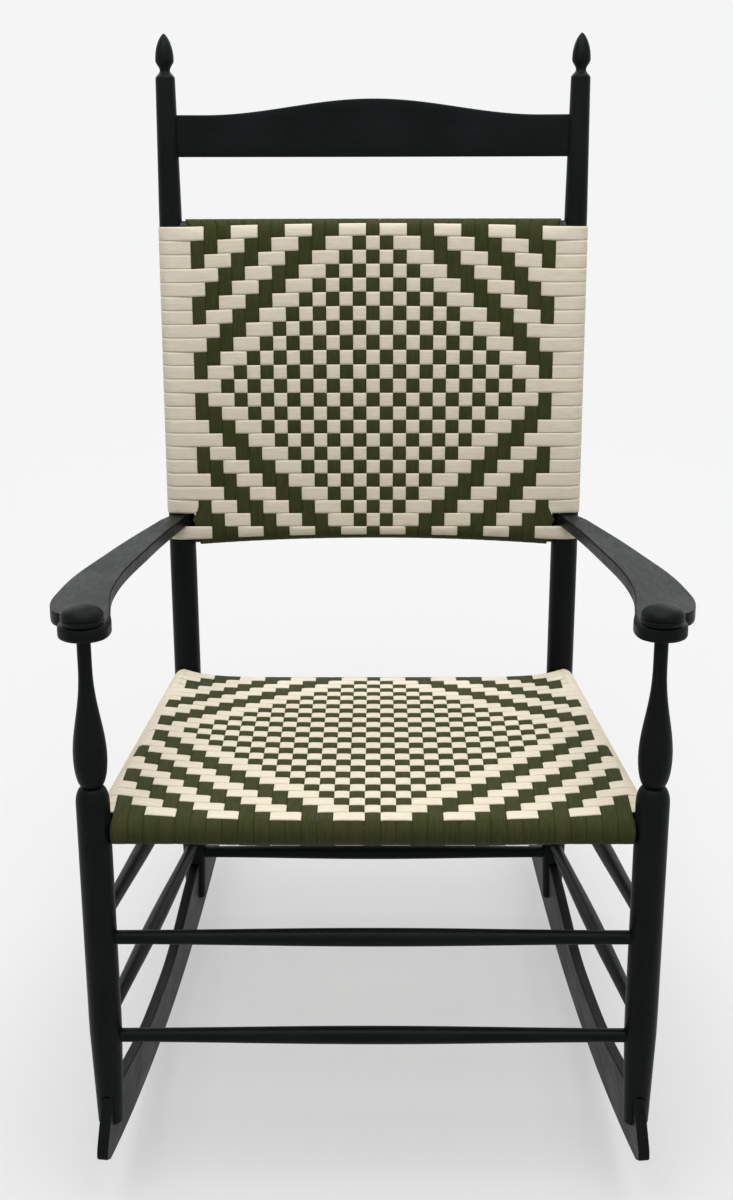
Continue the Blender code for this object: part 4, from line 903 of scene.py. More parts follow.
class CHAIR_OT_stage(Step, Operator):
    """Pale floor, soft lamps and the camera of the photograph"""

    bl_idname = "chair.stage"
    bl_label = "Stage"

    def build(self, chair):
        sizes = chair.size.stage
        self.add_floor(chair.size.finish, sizes)
        self.add_sky(chair.scene, chair.size.finish, sizes)
        for name, (watts, place, size) in LAMPS.items():
            self.add_lamp(name, getattr(sizes, watts), Vector(place), size)
        self.add_camera(chair, sizes)
        chair.scene.view_settings.view_transform = "Standard"

    def add_floor(self, tints, sizes):
        """A plain floor, which fades into the backdrop away from the chair."""
        shape = bmesh.new()
        bmesh.ops.create_grid(shape, x_segments=2, y_segments=2, size=sizes.floor_reach)
        bmesh.ops.translate(shape, vec=(0, 0, -sizes.floor_drop), verts=shape.verts)
        floor = add_object("floor", mesh_of("floor", shape))
        maker = Maker("pale_floor")
        mottle = maker.noise(maker.place(), 3, 3)
        shade = maker.mix(mottle, tints.floor, tints.floor * 0.97)
        floor.data.materials.append(maker.surface(base_color=shade, roughness=0.8 + mottle * 0.1))
        measure = {"operation": "LENGTH"}
        reach = maker.node("ShaderNodeVectorMath", measure, {0: maker.place()}, output="Value")
        far = maker.ramp(reach, sizes.fade_start, sizes.fade_end)
        fade = far * (1 - sizes.floor_glow) + sizes.floor_glow
        glow = {"Color": tints.backdrop, "Strength": sizes.backdrop}
        backdrop = maker.node("ShaderNodeEmission", sockets=glow)
        plain = Wire(maker, maker.shader.outputs[0])
        both = maker.node("ShaderNodeMixShader", sockets={0: fade * maker.seen(), 1: plain, 2: backdrop})
        maker.feed(maker.tree.nodes["Material Output"].inputs["Surface"], both)
        floor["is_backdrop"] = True

    def add_sky(self, scene, tints, sizes):
        maker = Maker("studio", "worlds", "Background")
        strength = sizes.sky + maker.seen() * (sizes.backdrop - sizes.sky)
        scene.world = maker.surface(color=tints.backdrop, strength=strength)

    def add_lamp(self, name, watts, place, size):
        lamp = bpy.data.lights.new(name, "AREA")
        lamp.shape = "SQUARE"
        lamp.size = size
        lamp.energy = watts
        holder = add_object(name, lamp)
        holder.location = place
        holder.rotation_euler = (AIM - place).to_track_quat("-Z", "Y").to_euler()

    def add_camera(self, chair, sizes):
        """The camera in the chair's own axes, leaned back with it."""
        level = math.cos(sizes.pitch)
        ahead = Vector((math.sin(sizes.yaw) * level, math.cos(sizes.yaw) * level, -math.sin(sizes.pitch)))
        right = Vector((math.cos(sizes.yaw), -math.sin(sizes.yaw), 0))
        down = ahead.cross(right)
        rolled = right * math.cos(sizes.roll) + down * math.sin(sizes.roll)
        below = down * math.cos(sizes.roll) - right * math.sin(sizes.roll)
        turned = Matrix((rolled, -below, -ahead)).transposed().to_4x4()
        data = bpy.data.cameras.new("camera")
        data.sensor_width = sizes.sensor * 1000
        data.lens = sizes.lens * 1000
        data.clip_end = sizes.clip_end
        place = Matrix.Translation((sizes.across, -sizes.distance, sizes.height))
        chair.scene.camera = add_object("camera", data)
        chair.scene.camera.matrix_world = chair.world @ place @ turned


def add_post(chair, node, profile, place, slot):
    """A turned post whose foot is slotted for its rocker."""
    post = add_painted(chair, f"turned_{node}", turn(profile, place), "upright", node)
    cut(post, slot)
    round_edges(post, chair.size.post.edge, 2)


class CHAIR_OT_front_posts(Step, Operator):
    """Front posts: tapered foot, plain post, vase and slim neck that runs through the arm"""

    bl_idname = "chair.front_posts"
    bl_label = "Front posts"

    def build(self, chair):
        for name, side in SIDES.items():
            place = chair.world @ Matrix.Translation(chair.front_axis(side, 0))
            rocker = RockerLine(chair, side)
            add_post(chair, f"front_post_{name}", self.profile(chair), place, rocker.slot(rocker.front))

    def profile(self, chair):
        post = chair.size.post
        arm = chair.size.arm
        seat = chair.size.frame.seat_height
        tip = chair.arm_height + arm.thickness / math.cos(arm.slope) + arm.cap_socket
        neck = (post.neck_radius, chair.arm_height - post.neck_length)
        belly = (post.belly_radius, seat + post.belly_rise)
        waist = (post.waist_radius, seat + post.waist_rise)
        shoulder = (post.front_radius, seat + post.shoulder_rise)
        points = [(0, tip), (post.neck_radius, tip), neck]
        points += sweep(neck, belly, 28, post.vase_skew)
        points += bead(belly, waist, 14)
        points += bead(shoulder, waist, 10)[-2::-1] + [shoulder]
        points += [(post.front_radius, post.front_taper_height + post.taper_blend)]
        points += [(post.front_radius - post.taper_soft, post.front_taper_height)]
        points += [(post.front_foot_radius, post.front_foot_height), (0, post.front_foot_height)]
        return points


class CHAIR_OT_back_posts(Step, Operator):
    """Back posts: slotted foot, slim upper part and finial"""

    bl_idname = "chair.back_posts"
    bl_label = "Back posts"

    def build(self, chair):
        sizes = chair.size.frame
        for name, side in SIDES.items():
            foot = chair.back @ Matrix.Translation((side * sizes.back_spread / 2, 0, 0))
            splay = Matrix.Rotation(side * sizes.back_splay, 4, "Y")
            place = chair.world @ foot @ splay
            rocker = RockerLine(chair, side)
            add_post(chair, f"back_post_{name}", self.profile(chair), place, rocker.slot(rocker.back))

    def profile(self, chair):
        post = chair.size.post
        shoulder = (post.top_radius, post.top_level)
        neck = (post.finial_neck, post.top_level + post.finial_neck_rise)
        belly = (post.finial_belly, post.top_level + post.finial_belly_rise)
        tip = post.top_level + post.finial_rise
        points = [(0, tip)]
        for i in range(1, 17):
            share = i / 16
            radius = post.finial_belly * math.sin(share * math.pi / 2)
            points.append((radius, blend(tip, belly[1], share**post.finial_taper)))
        points += sweep(belly, neck, 12)
        points += sweep(neck, shoulder, 8)
        foot = chair.level_of(post.back_foot_height)
        for level in (post.slim_level, post.back_upper, chair.level_of(post.back_taper_height), foot):
            points.append((chair.back_radius(level), level))
        points.append((0, foot))
        return points


class CHAIR_OT_stretchers(Step, Operator):
    """The seven painted stretchers, which swell a little at the middle"""

    bl_idname = "chair.stretchers"
    bl_label = "Stretchers"

    def build(self, chair):
        rung = chair.size.rung
        across = (
            ("front_rung_upper", chair.front_joint, rung.front_upper),
            ("front_rung_lower", chair.front_joint, rung.front_lower),
            ("back_rung_lower", chair.back_joint, rung.back_lower),
        )
        for node, joint, height in across:
            self.add(chair, node, joint(-1, height), joint(1, height), "across")
        along = (
            ("upper", rung.side_upper_front, rung.side_upper_back),
            ("lower", rung.side_lower_front, rung.side_lower_back),
        )
        for name, side in SIDES.items():
            for part, front, back in along:
                ends = (chair.front_joint(side, front), chair.back_joint(side, back))
                self.add(chair, f"side_rung_{part}_{name}", *ends, "along")

    def add(self, chair, node, first_joint, last_joint, direction):
        rung = chair.size.rung
        (start, start_radius), (end, end_radius) = first_joint, last_joint
        toward = (end - start).normalized()
        tip = start - toward * rung.tenon_past
        far = end + toward * rung.tenon_past
        whole = (far - tip).length
        first = rung.tenon_past + start_radius - rung.bury
        last = whole - rung.tenon_past - end_radius + rung.bury
        middle = (rung.middle_radius, (first + last) / 2)
        points = [(0, whole), (rung.tenon_radius, whole), (rung.tenon_radius, last), (rung.end_radius, last)]
        points += sweep((rung.end_radius, last), middle, 12)
        points += sweep(middle, (rung.end_radius, first), 12)
        points += [(rung.tenon_radius, first), (rung.tenon_radius, 0), (0, 0)]
        turned = (far - tip).to_track_quat("Z", "Y").to_matrix().to_4x4()
        shape = turn(points, chair.world @ Matrix.Translation(tip) @ turned, 32)
        add_painted(chair, f"turned_{node}", shape, direction, node)


class CHAIR_OT_crest_slat(Step, Operator):
    """The bent top slat with its ogee arch"""

    bl_idname = "chair.crest_slat"
    bl_label = "Crest slat"

    def build(self, chair):
        slat = chair.size.slat
        half = chair.half_spread(slat.bottom)
        reach = half + chair.size.rung.tenon_past
        shape = bmesh.new()
        bmesh.ops.create_grid(shape, x_segments=72, y_segments=6, size=1)
        for vert in shape.verts:
            x = vert.co.x * reach
            arch = slat.arch * ease(max(0, 1 - abs(x) / slat.arch_reach))
            bow = slat.bow * (1 - (x / half) ** 2)
            rise = (slat.end_height + arch) * (vert.co.y + 1) / 2
            vert.co = (x, bow, slat.bottom + rise)
        bmesh.ops.transform(shape, matrix=chair.world @ chair.back, verts=shape.verts)
        piece = add_painted(chair, "bent_crest_slat", shape, "across", "crest_slat")
        thicken(piece, slat.thickness).use_even_offset = True
        round_edges(piece, slat.edge, 3)


class CHAIR_OT_arms(Step, Operator):
    """The two arms with their round lobe, ear, heel and long waist, and their mushroom caps"""

    bl_idname = "chair.arms"
    bl_label = "Arms and caps"

    def build(self, chair):
        arm = chair.size.arm
        for name, side in SIDES.items():
            place = chair.world @ chair.arm_frame(side)
            shape = board(self.outline(chair, side), arm.thickness, self.rounding(arm), place)
            piece = add_painted(chair, f"shaped_arm_{name}", shape, "along", f"arm_{name}", BOARD_SHARP)
            round_edges(piece, arm.lobe_edge, 4, "WEIGHT")
            shape = turn(self.cap(arm), place)
            piece = add_painted(chair, f"turned_arm_cap_{name}", shape, "along", f"arm_cap_{name}")
            round_edges(piece, arm.cap_edge, 2)

    def rounding(self, arm):
        """Share of the lobe's rounding at a place on the arm's rims."""

        def share(place):
            if place.z < 0:
                return arm.low_edge / arm.lobe_edge
            behind = ease(clamp((place.y - arm.lobe_offset) / arm.lobe))
            return blend(1, arm.top_edge / arm.lobe_edge, behind)

        return share

    def cap(self, arm):
        """Profile of a cap: its dome, the groove under it, the collar and the foot on the arm."""
        base = arm.thickness / 2 + arm.cap_gap
        rim = base + arm.cap_rim
        dome = (arm.cap_radius, rim)
        groove = (arm.cap_radius - arm.cap_groove, rim - arm.cap_collar)
        collar = (arm.cap_radius, rim - 2 * arm.cap_collar)
        foot = (arm.cap_radius - arm.cap_groove, base)
        points = bead(dome, (0, rim + arm.cap_dome), 14)[::-1] + [dome]
        for start, end in ((dome, groove), (groove, collar), (collar, foot)):
            points += sweep(start, end, 5)
        points.append((0, base))
        return points

    def outline(self, chair, side):
        """Plan of an arm, from the front of its lobe round the outer side to the tail and back."""
        arm = chair.size.arm
        tail = chair.arm_tail(side)
        tail_x = side * tail.x
        tail_y = tail.y - chair.back_radius(chair.level_of(chair.arm_height)) * arm.tail_end
        heel_y = tail.y - arm.heel_length
        middle_y = (heel_y + arm.swell_setback) / 2
        half_tail = arm.tail_width / 2
        heel_x = tail_x + half_tail + arm.heel_step
        outer_x = (arm.swell_reach + heel_x) / 2 + arm.outer_bulge
        inner_x = (tail_x - half_tail - arm.waist_inset) / 2 + arm.inner_bulge
        diagonal = arm.lobe * math.sqrt(0.5)
        points = [
            (arm.lobe_shift, arm.lobe_offset - arm.lobe, "AUTO"),
            (arm.lobe_shift + diagonal, arm.lobe_offset - diagonal, "AUTO"),
            (arm.lobe_shift + arm.lobe, arm.lobe_offset, "AUTO"),
            (arm.notch_reach, arm.notch_setback, "VECTOR"),
            (arm.ear_reach - arm.ear_round, arm.ear_setback - arm.ear_round, "AUTO"),
            (arm.ear_reach, arm.ear_setback + arm.ear_round, "AUTO"),
            (arm.swell_reach, arm.swell_setback, "AUTO"),
            (outer_x, middle_y, "AUTO"),
            (heel_x, heel_y, "VECTOR"),
            (tail_x + half_tail, tail_y, "VECTOR"),
            (tail_x - half_tail, tail_y, "VECTOR"),
            (inner_x, middle_y + arm.inner_setback, "AUTO"),
            (-arm.waist_inset, arm.waist_setback, "AUTO"),
            (-arm.neck_inset, arm.neck_setback, "AUTO"),
            (arm.lobe_shift - arm.lobe, arm.lobe_offset, "AUTO"),
            (arm.lobe_shift - diagonal, arm.lobe_offset - diagonal, "AUTO"),
        ]
        return outline_curve([(side * x, y) for x, y, handle in points], [point[2] for point in points])


class CHAIR_OT_rockers(Step, Operator):
    """The two rockers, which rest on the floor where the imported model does"""

    bl_idname = "chair.rockers"
    bl_label = "Rockers"

    def build(self, chair):
        size = chair.size.rocker
        for name, side in SIDES.items():
            rocker = RockerLine(chair, side)
            shape = board(outline_curve(rocker.outline()), size.thickness, lambda middle: 1, rocker.plane)
            piece = add_painted(chair, f"sawn_rocker_{name}", shape, "along", f"rocker_{name}", BOARD_SHARP)
            round_edges(piece, size.edge, 3, "WEIGHT")


def strip_lifts(over, lift):
    """(share of a cell from its middle, lift) along a strip: its middle, side and far boundary."""
    stations = []
    for i, state in enumerate(over):
        level = lift if state else -lift
        following = over[i + 1] if i + 1 < len(over) else True
        edge = 0 if following != state else level
        if i == 0:
            stations.append((-0.5, max(0, level)))
        stations += [(i - FLAT, level), (i, level * CROWN), (i + FLAT, level), (i + 0.5, edge)]
    return stations


def lay_strip(shape, tape_map, rails, closed, index):
    """Lays one strip of tape along its rails, which are lists of points side by side."""
    sides = len(rails) - 1
    stops = len(rails[0])
    steps = stops if closed else stops - 1
    middle = rails[sides // 2]
    runs = [0]
    for i in range(steps):
        runs.append(runs[-1] + (middle[(i + 1) % stops] - middle[i]).length)
    verts = bmesh.ops.create_grid(shape, x_segments=steps, y_segments=sides, size=0.5)["verts"]
    where = {vert: (round((vert.co.x + 0.5) * steps), round((vert.co.y + 0.5) * sides)) for vert in verts}
    for face in {face for vert in verts for face in vert.link_faces}:
        for loop in face.loops:
            stop, side = where[loop.vert]
            loop[tape_map].uv = (runs[stop], index + blend(MAP_MARGIN, 1 - MAP_MARGIN, ACROSS[side]))
    for vert, (stop, side) in where.items():
        vert.co = rails[side][stop % stops]
    if closed:
        bmesh.ops.remove_doubles(shape, verts=verts, dist=MERGE)


def roll(centre, radius, enter, leave, sense):
    """Points of a taut tape that comes from one point, rolls over a round rung and goes on.

    A sense of 1 rolls anticlockwise and -1 clockwise, in the plane of the points.
    """

    def touch(point, way):
        across = point[0] - centre[0]
        up = point[1] - centre[1]
        far = max(math.hypot(across, up), radius * OUTSIDE)
        return math.atan2(up, across) + way * math.acos(radius / far)

    first = touch(enter, sense)
    swept = (sense * (touch(leave, -sense) - first)) % (2 * math.pi)
    points = []
    for i in range(ROLL_STOPS + 1):
        swing = first + sense * swept * i / ROLL_STOPS
        points.append((centre[0] + radius * math.cos(swing), centre[1] + radius * math.sin(swing)))
    return points


class Weave:
    """Two layers of tape on shared lines: columns of green warp and rows of cream weft."""

    def __init__(self, chair, columns, rows, seed):
        self.chair = chair
        self.size = chair.size.weave
        self.columns = columns
        self.rows = rows
        self.drift = random.Random(seed)

    def warp_shows(self, column, row):
        """Whether the warp is over the weft: a checked diamond, then diagonal twill round it."""
        half = self.rows // 2
        reach = half - abs(row - half)
        outside = abs(column) - reach
        if outside <= 0:
            return (column + reach) % 2 == 0
        return outside % 4 in (3, 0)

    def add(self, part, place):
        columns = range(-self.columns, self.columns + 1)
        self.add_layer(f"{part}_warp", "green", self.warp_rail, columns, place)
        self.add_layer(f"{part}_weft", "cream", self.weft_rail, range(self.rows), place)

    def add_layer(self, name, dye, rail_of, lines, place):
        """One layer from its strips, which stray a little, given the thickness of the tape."""
        size = self.size
        shape = bmesh.new()
        tape_map = shape.loops.layers.uv.new("tape")
        for index, middle in enumerate(lines):
            stray = self.drift.uniform(-1, 1) * size.wander
            rails = []
            for share in ACROSS:
                offset = stray + (share - 0.5) * (size.tape_width - size.tape_gap)
                drop = size.edge_drop * abs(2 * share - 1) ** 4
                rail, closed = rail_of(middle + offset / size.tape_width, middle, drop)
                rails.append(rail)
            lay_strip(shape, tape_map, rails, closed, index)
        bmesh.ops.transform(shape, matrix=place, verts=shape.verts)
        cloth = tape_cloth(self.chair.size.finish, dye)
        piece = add_piece(f"woven_{name}", shape, cloth, f"{name}_tape", SMOOTH)
        thicken(piece, size.thickness)


class SeatWeave(Weave):
    """The seat, whose rows bend back beside the front posts."""

    def __init__(self, chair):
        size = chair.size.weave
        super().__init__(chair, size.front_columns, size.seat_rows, 11)
        self.depth = chair.seat_back()
        self.roll = chair.size.rung.seat_radius + size.thickness / 2 + size.slack
        self.over_rung = self.roll + size.thickness

    def edge(self, y):
        """Half the width on which the weave lies flat, to the side rungs."""
        return self.chair.seat_side(y)[0] - self.size.rung_inset

    def bent(self, place):
        """Y of a place among the rows at the middle, and how much further back it is at the sides."""
        size = self.size
        middle = size.seat_first + size.seat_pitch * (place + 0.5)
        bend = size.seat_bend - size.bend_start * max(0, 1 - (place + 0.5) / size.bend_rows) ** 2
        bend -= size.bend_end * ease(clamp((place - self.rows / 2) / self.rows * 2))
        return middle, bend

    def present(self, column, row):
        """Strips run one row further than they lie inside the side rungs."""
        reach = self.edge(sum(self.bent(row - 1))) + self.size.spare
        return (abs(column) + 0.5) * self.size.tape_width < reach

    def row_line(self, place, x):
        """Y of a place among the rows, which bend back towards the sides to clear the front posts."""
        middle, bend = self.bent(place)
        return middle + bend * min(1, abs(x) / self.edge(middle + bend)) ** self.size.bend_power

    def crossing(self, column, row):
        """Where a column's line, which may fan outwards behind the post, meets a row's line."""
        size = self.size
        x = column * size.tape_width
        y = self.row_line(row, x)
        fan = size.seat_fan * max(0, abs(column) - size.back_columns)
        fan *= ease(clamp((y - size.fan_start) / size.fan_reach))
        inside = abs(x) + fan - self.edge(max(0, y)) + size.closing
        if inside > 0:
            fan -= inside - size.closing * (1 - math.exp(-inside / size.closing))
        return x + math.copysign(1, column) * fan, y

    def height(self, x, y, face):
        """Middle of the weave above (face 1) or below (face -1) the rungs."""
        size = self.size
        rung = self.chair.size.rung
        if y < 0:
            return rung.seat_front + face * math.sqrt(max(0, self.over_rung**2 - y * y))
        share = min(1, y / self.depth)
        rear = rung.seat_back + (size.rear_lift if face > 0 else 0)
        middle = blend(rung.seat_front, rear, share) + face * self.over_rung
        if face > 0:
            middle += size.seat_crown * 4 * share * (1 - share)
        side_x, side_z = self.chair.seat_side(y)
        step = side_z + face * self.roll - middle
        near = min(1, abs(x / side_x))
        if face > 0 and step > 0:
            return middle + step * near**size.rise_power
        power = size.fall_power if face > 0 else size.under_power
        return middle + step * size.side_fall * near**power * (1 - (2 * share - 1) ** 4)

    def rail(self, crossings, drop):
        """Points above and below along (column, row, lift) stations."""
        rails = {1: [], -1: []}
        for column, row, lift in crossings:
            x, y = self.crossing(column, row)
            for face, points in rails.items():
                points.append(Vector((x, y, self.height(x, y, face) + face * (lift - drop))))
        return rails[1], rails[-1]

    def warp_rail(self, place, column, drop):
        """One line along a warp strip, and whether it runs all the way round."""
        size = self.size
        rung = self.chair.size.rung
        over = [self.warp_shows(column, row) for row in range(self.rows) if self.present(column, row)]
        stations = strip_lifts(over, size.lift)
        top, low = self.rail([(place, row, lift) for row, lift in stations], drop)
        front = self.round_rung(top[0], low[0], (0, rung.seat_front), 1, drop)
        if abs(column) > size.back_columns:
            return top[::-1] + front + low, False
        back = self.round_rung(top[-1], low[-1], (self.depth, rung.seat_back), -1, drop)
        return top + back + low[::-1] + front[::-1], True

    def round_rung(self, enter, leave, axis, sense, drop):
        """Points round the front or back rung, from above to below."""
        ring = roll(axis, self.roll - drop, (enter.y, enter.z), (leave.y, leave.z), sense)
        return [Vector((enter.x, y, z)) for y, z in ring]

    def weft_rail(self, place, row, drop):
        """One line along a weft strip and round the side rungs."""
        half = self.edge(sum(self.bent(row))) / self.size.tape_width + 0.5
        outer = max(column for column in range(self.columns + 1) if self.present(column, row))
        over = [not self.warp_shows(column, row) for column in range(-outer, outer + 1)]
        stations = [(step - outer, place, lift) for step, lift in strip_lifts(over, self.size.lift)]
        top, low = self.rail([(-half, place, 0), *stations, (half, place, 0)], drop)
        right = self.round_side(top[-1], low[-1], 1, drop)
        left = self.round_side(top[0], low[0], -1, drop)
        return top + right + low[::-1] + left[::-1], True

    def round_side(self, enter, leave, way, drop):
        """Points round the left (way 1) or right (way -1) rung, from above to below."""
        ends = ((way * enter.x, enter.z), (way * leave.x, leave.z))
        ring = roll(self.chair.seat_side(enter.y), self.roll - drop, *ends, -1)
        return [Vector((way * x, enter.y, z)) for x, z in ring]


class BackWeave(Weave):
    """The back panel, in the back's leaning frame: X, depth and level."""

    def __init__(self, chair):
        size = chair.size.weave
        super().__init__(chair, size.back_columns, size.back_rows, 23)
        rung = chair.size.rung
        cover = rung.panel_radius + size.thickness / 2 + size.slack
        self.top = rung.panel_top + size.row_reach
        self.bottom = rung.panel_bottom - size.row_reach
        self.crest = rung.panel_top + cover
        self.foot = rung.panel_bottom - cover
        self.half_width = (self.columns + 0.5) * size.tape_width

    def row_level(self, row):
        return self.top - (self.top - self.bottom) * (row + 0.5) / self.rows

    def column_x(self, column, level):
        """The columns fan out a little to the top, and most over the top rung."""
        size = self.size
        share = (level - self.bottom) / (self.top - self.bottom)
        fan = size.back_fan * share + size.crest_fan * clamp((level - self.top) / (self.crest - self.top))
        return column * size.tape_width * (1 + fan)

    def depth(self, level):
        """Half thickness of the panel at the middle of its weave, rounded off at both ends."""
        size = self.size
        half = self.chair.back_radius(level) + size.panel_gap
        over = max(level - self.crest, self.foot - level) + size.panel_round
        return half * (1 - clamp(over / size.panel_round) ** size.panel_power) ** (1 / size.panel_power)

    def bowed(self, x, depth, level):
        """A point of the panel: its rows rise to the middle above, and its lower end is drawn up."""
        size = self.size
        share = (level - self.bottom) / (self.top - self.bottom)
        upper = ease(clamp((share - size.bow_start) / size.bow_run))
        upper *= 1 - size.crest_hold * ease(clamp((level - self.crest) / size.crest_run + 1))
        lower = 1 - ease(clamp((level - self.foot) / size.foot_run))
        inside = max(0, 1 - (x / self.half_width) ** 2)
        return Vector((x, depth, level + inside * (size.top_bow * upper + size.bottom_bow * lower)))

    def rung_level(self, x, level):
        """The upper rung is straight, and the lower one bends up with the tape."""
        return level if level > self.row_level(self.rows // 2) else self.bowed(x, 0, level).z

    def rail(self, stations, drop):
        """Points in front and behind along (x, level, lift) stations."""
        rails = {-1: [], 1: []}
        for x, level, lift in stations:
            for face, points in rails.items():
                points.append(self.bowed(x, face * (self.depth(level) + lift - drop), level))
        return rails[-1], rails[1]

    def warp_rail(self, place, column, drop):
        """One line along a warp strip, which runs all the way round."""
        stations = []
        over = [self.warp_shows(column, row) for row in range(self.rows)]
        for row, lift in strip_lifts(over, self.size.lift):
            level = self.row_level(row)
            x = self.column_x(place, level) + self.beside_arm(place, column, row)
            stations.append((x, level, lift))
        front, rear = self.rail(stations, drop)
        crest = self.round_end(place, self.top, self.crest, drop)
        foot = self.round_end(place, self.bottom, self.foot, drop)
        return front + foot + rear[::-1] + crest[::-1], True

    def beside_arm(self, place, column, row):
        """The outermost strips spread to the posts where the weft turns back before the arms."""
        size = self.size
        if abs(column) < self.columns:
            return 0
        outward = abs(place) - abs(column) + 0.5
        near = clamp(1 - abs(row - size.arm_row) / size.arm_rows)
        return math.copysign(size.arm_spread * outward * near, column)

    def round_end(self, place, start, end, drop):
        """Points over an end of the panel, from its front to its back."""
        points = []
        grown = self.size.lift - drop
        for i in range(1, END_STOPS):
            swing = i / END_STOPS * math.pi
            level = blend(start, end, math.sin(swing) ** END_POWER)
            flat = 2 * i == END_STOPS
            depth = 0 if flat else math.copysign(self.depth(level), -math.cos(swing))
            outward = Vector((0, depth, (end - start) * math.sin(swing) ** 2)).normalized() * grown
            x = self.column_x(place, level)
            points.append(self.bowed(x, depth + outward.y, level + outward.z))
        return points

    def weft_rail(self, place, row, drop):
        """One line along a weft strip and round the posts, or back before the arms."""
        outer = self.columns
        over = [not self.warp_shows(column, row) for column in range(-outer, outer + 1)]
        level = self.row_level(place)
        lifts = strip_lifts(over, self.size.lift)
        stations = [(self.column_x(step - outer, level), level, lift) for step, lift in lifts]
        front, rear = self.rail(stations, drop)
        turned = self.before_post if row == self.size.arm_row else self.round_post
        right = turned(front[-1], rear[-1], 1, drop)
        left = turned(front[0], rear[0], -1, drop)
        return front + right + rear[::-1] + left[::-1], True

    def before_post(self, enter, leave, way, drop):
        """Straight back beside the post, where the arm is in the way."""
        size = self.size
        points = []
        for i in range(ROLL_STOPS + 1):
            share = i / ROLL_STOPS
            inner = 0 < i < ROLL_STOPS
            bulge = size.turn_bulge * math.sin(share * math.pi) ** 0.4 if inner else size.turn_start
            point = enter.lerp(leave, blend(size.turn_margin, 1 - size.turn_margin, share))
            points.append(point + Vector((way * bulge, 0, 0)))
        return points

    def round_post(self, enter, leave, way, drop):
        level = enter.z
        radius = self.chair.back_radius(level) + self.size.slack + self.size.thickness / 2 - drop
        ends = ((way * enter.x, enter.y), (way * leave.x, leave.y))
        ring = roll((self.chair.half_spread(level), 0), radius, *ends, 1)
        return [Vector((way * x, depth, level)) for x, depth in ring]


class CHAIR_OT_seat_weave(Step, Operator):
    """The woven seat: green tape from front to back and cream tape from side to side"""

    bl_idname = "chair.seat_weave"
    bl_label = "Woven seat"

    def build(self, chair):
        SeatWeave(chair).add("seat", chair.world)


class CHAIR_OT_back_weave(Step, Operator):
    """The woven back: green tape up and down, and cream tape round the posts"""

    bl_idname = "chair.back_weave"
    bl_label = "Woven back"

    def build(self, chair):
        BackWeave(chair).add("back", chair.world @ chair.back)


class CHAIR_OT_pads(Step, Operator):
    """Crowned foam pads inside the woven seat and back"""

    bl_idname = "chair.pads"
    bl_label = "Foam pads"

    def build(self, chair):
        self.add(chair, "seat", SeatWeave(chair), self.seat_point, chair.world)
        self.add(chair, "back", BackWeave(chair), self.back_point, chair.world @ chair.back)

    def add(self, chair, part, weave, point, place):
        """A closed pad: a grid and its underside, whose rim draws in and rounds over."""
        shape = bmesh.new()
        bmesh.ops.create_grid(shape, x_segments=28, y_segments=22, size=1)
        under = set(extrude(shape, shape.faces[:]))
        for vert in shape.verts:
            vert.co = point(weave, chair.size, vert.co.x, vert.co.y, -1 if vert in under else 1)
        bmesh.ops.recalc_face_normals(shape, faces=shape.faces)
        bmesh.ops.transform(shape, matrix=place, verts=shape.verts)
        pad = add_piece(f"{part}_pad", shape, foam(chair.size.finish), f"{part}_foam_pad", SMOOTH)
        soft = pad.modifiers.new("soft", "SUBSURF")
        soft.levels = 1
        soft.render_levels = 1

    def swell(self, pad, u, v):
        """Share of the pad's thickness, which falls off towards its rim."""
        return blend(pad.rim, 1, math.sqrt((1 - abs(u) ** pad.power) * (1 - abs(v) ** pad.power)))

    def seat_point(self, weave, size, u, v, face):
        pad = size.pad
        first = size.post.front_radius + pad.post_gap
        last = weave.depth - size.post.back_radius - pad.post_gap
        y = blend(first, last, (v + 1) / 2)
        x = u * (weave.edge(y) - pad.seat_inset) * (1 - pad.waist * (1 - v * v))
        top = weave.height(x, y, 1)
        low = weave.height(x, y, -1)
        thick = ((top - low) / 2 - pad.clearance) * self.swell(pad, u, v)
        return Vector((x, y, (top + low) / 2 + face * thick))

    def back_point(self, weave, size, u, v, face):
        pad = size.pad
        level = blend(weave.bottom + pad.end_inset, weave.top - pad.end_inset, (v + 1) / 2)
        thick = (weave.depth(level) - pad.clearance) * self.swell(pad, u, v)
        x = u * (weave.half_width - pad.back_inset) * (1 - pad.waist * (1 - v * v))
        return weave.bowed(x, -face * thick, level)


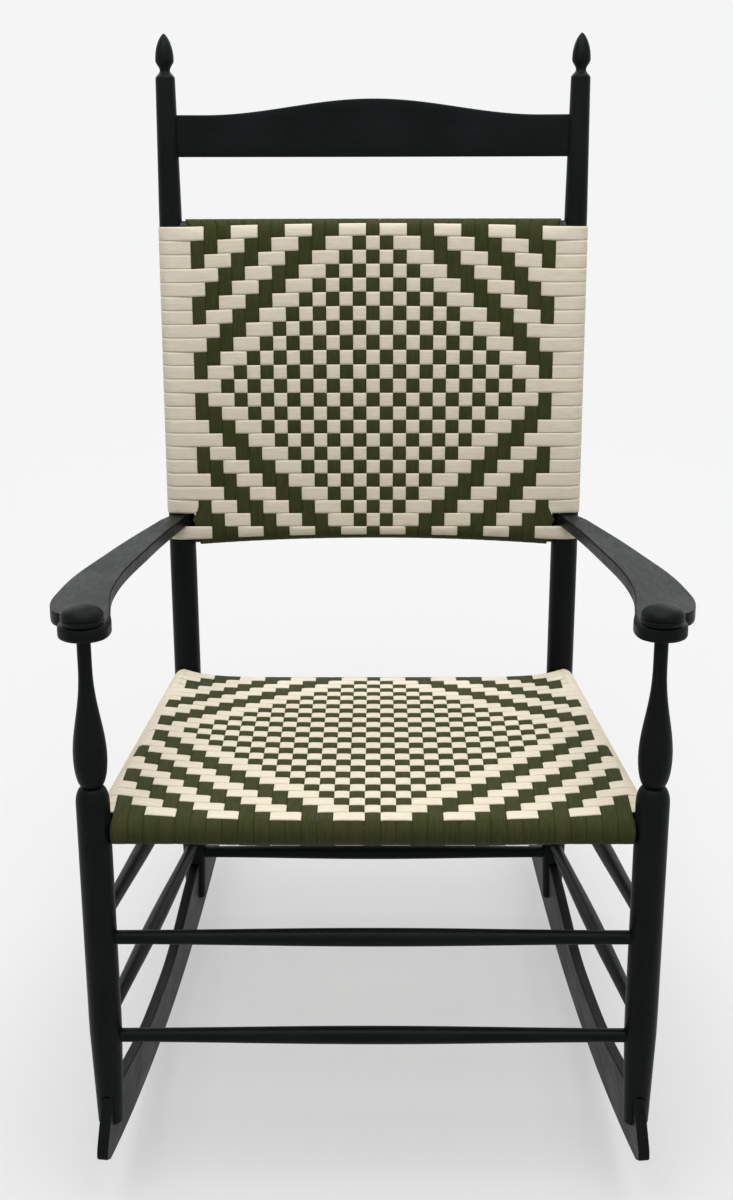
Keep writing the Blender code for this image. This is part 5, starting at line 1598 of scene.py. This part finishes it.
class CHAIR_OT_hidden_parts(Step, Operator):
    """The bent panel rungs under the tape, and the finishes of rungs, pins and tacks"""

    bl_idname = "chair.hidden_parts"
    bl_label = "Rungs, pins and tacks"

    def build(self, chair):
        tints = chair.size.finish
        self.add_rung(chair, "panel_rung_top", chair.size.rung.panel_top)
        self.add_rung(chair, "panel_rung_bottom", chair.size.rung.panel_bottom)
        for name, node in NODES.items():
            if name.startswith("seat_rung"):
                self.dress(node, bare_wood(tints))
            elif name.startswith("tack"):
                self.dress(node, steel(tints))
            elif "_pin" in name:
                self.dress(node, black_paint(tints, "across"))

    def add_rung(self, chair, name, level):
        """A rung inside the back panel, bent to the line of the tape round it."""
        rung = chair.size.rung
        weave = BackWeave(chair)
        half = chair.half_spread(level)
        reach = half + rung.tenon_past
        end = half - chair.back_radius(level) + rung.bury
        points = [(0, reach), (rung.tenon_radius, reach), (rung.tenon_radius, end)]
        points += [(rung.panel_radius, end * (1 - i / 12)) for i in range(25)]
        points += [(rung.tenon_radius, -end), (rung.tenon_radius, -reach), (0, -reach)]
        shape = turn(points, Matrix.Rotation(math.pi / 2, 4, "Y"), 24)
        for vert in shape.verts:
            vert.co.z += weave.rung_level(vert.co.x, level)
        bmesh.ops.transform(shape, matrix=chair.world @ chair.back, verts=shape.verts)
        add_piece(f"bent_{name}", shape, bare_wood(chair.size.finish), name)

    def dress(self, node, material):
        for slot in node.material_slots:
            slot.material = material


class CHAIR_PT_pieces(Panel):
    """Lists the steps that build the chair"""

    bl_idname = "CHAIR_PT_pieces"
    bl_label = "Rocking chair"
    bl_space_type = "VIEW_3D"
    bl_region_type = "UI"
    bl_category = "Chair"

    def draw(self, context):
        for step in STEPS:
            self.layout.operator(step.bl_idname)


STEPS = (
    CHAIR_OT_stage,
    CHAIR_OT_front_posts,
    CHAIR_OT_back_posts,
    CHAIR_OT_stretchers,
    CHAIR_OT_crest_slat,
    CHAIR_OT_arms,
    CHAIR_OT_rockers,
    CHAIR_OT_seat_weave,
    CHAIR_OT_back_weave,
    CHAIR_OT_pads,
    CHAIR_OT_hidden_parts,
)
GROUPS = (
    FrameSizes,
    PostSizes,
    RungSizes,
    SlatSizes,
    ArmSizes,
    RockerSizes,
    WeaveSizes,
    PadSizes,
    Finishes,
    StageSizes,
    ChairSettings,
)


def register():
    for kind in (*GROUPS, *STEPS, CHAIR_PT_pieces):
        bpy.utils.register_class(kind)
    bpy.types.Scene.rocking_chair = PointerProperty(type=ChairSettings)


def unregister():
    del bpy.types.Scene.rocking_chair
    for kind in reversed((*GROUPS, *STEPS, CHAIR_PT_pieces)):
        bpy.utils.unregister_class(kind)


def main():
    register()
    bpy.ops.chair.stage()
    bpy.ops.chair.front_posts()
    bpy.ops.chair.back_posts()
    bpy.ops.chair.stretchers()
    bpy.ops.chair.crest_slat()
    bpy.ops.chair.arms()
    bpy.ops.chair.rockers()
    bpy.ops.chair.seat_weave()
    bpy.ops.chair.back_weave()
    bpy.ops.chair.pads()
    bpy.ops.chair.hidden_parts()
    boxes = {"cad": CAD_BOX, "visual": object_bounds()}
    sizes = {name: [list(corner) for corner in box] for name, box in boxes.items()}


if __name__ == "__main__":
    main()
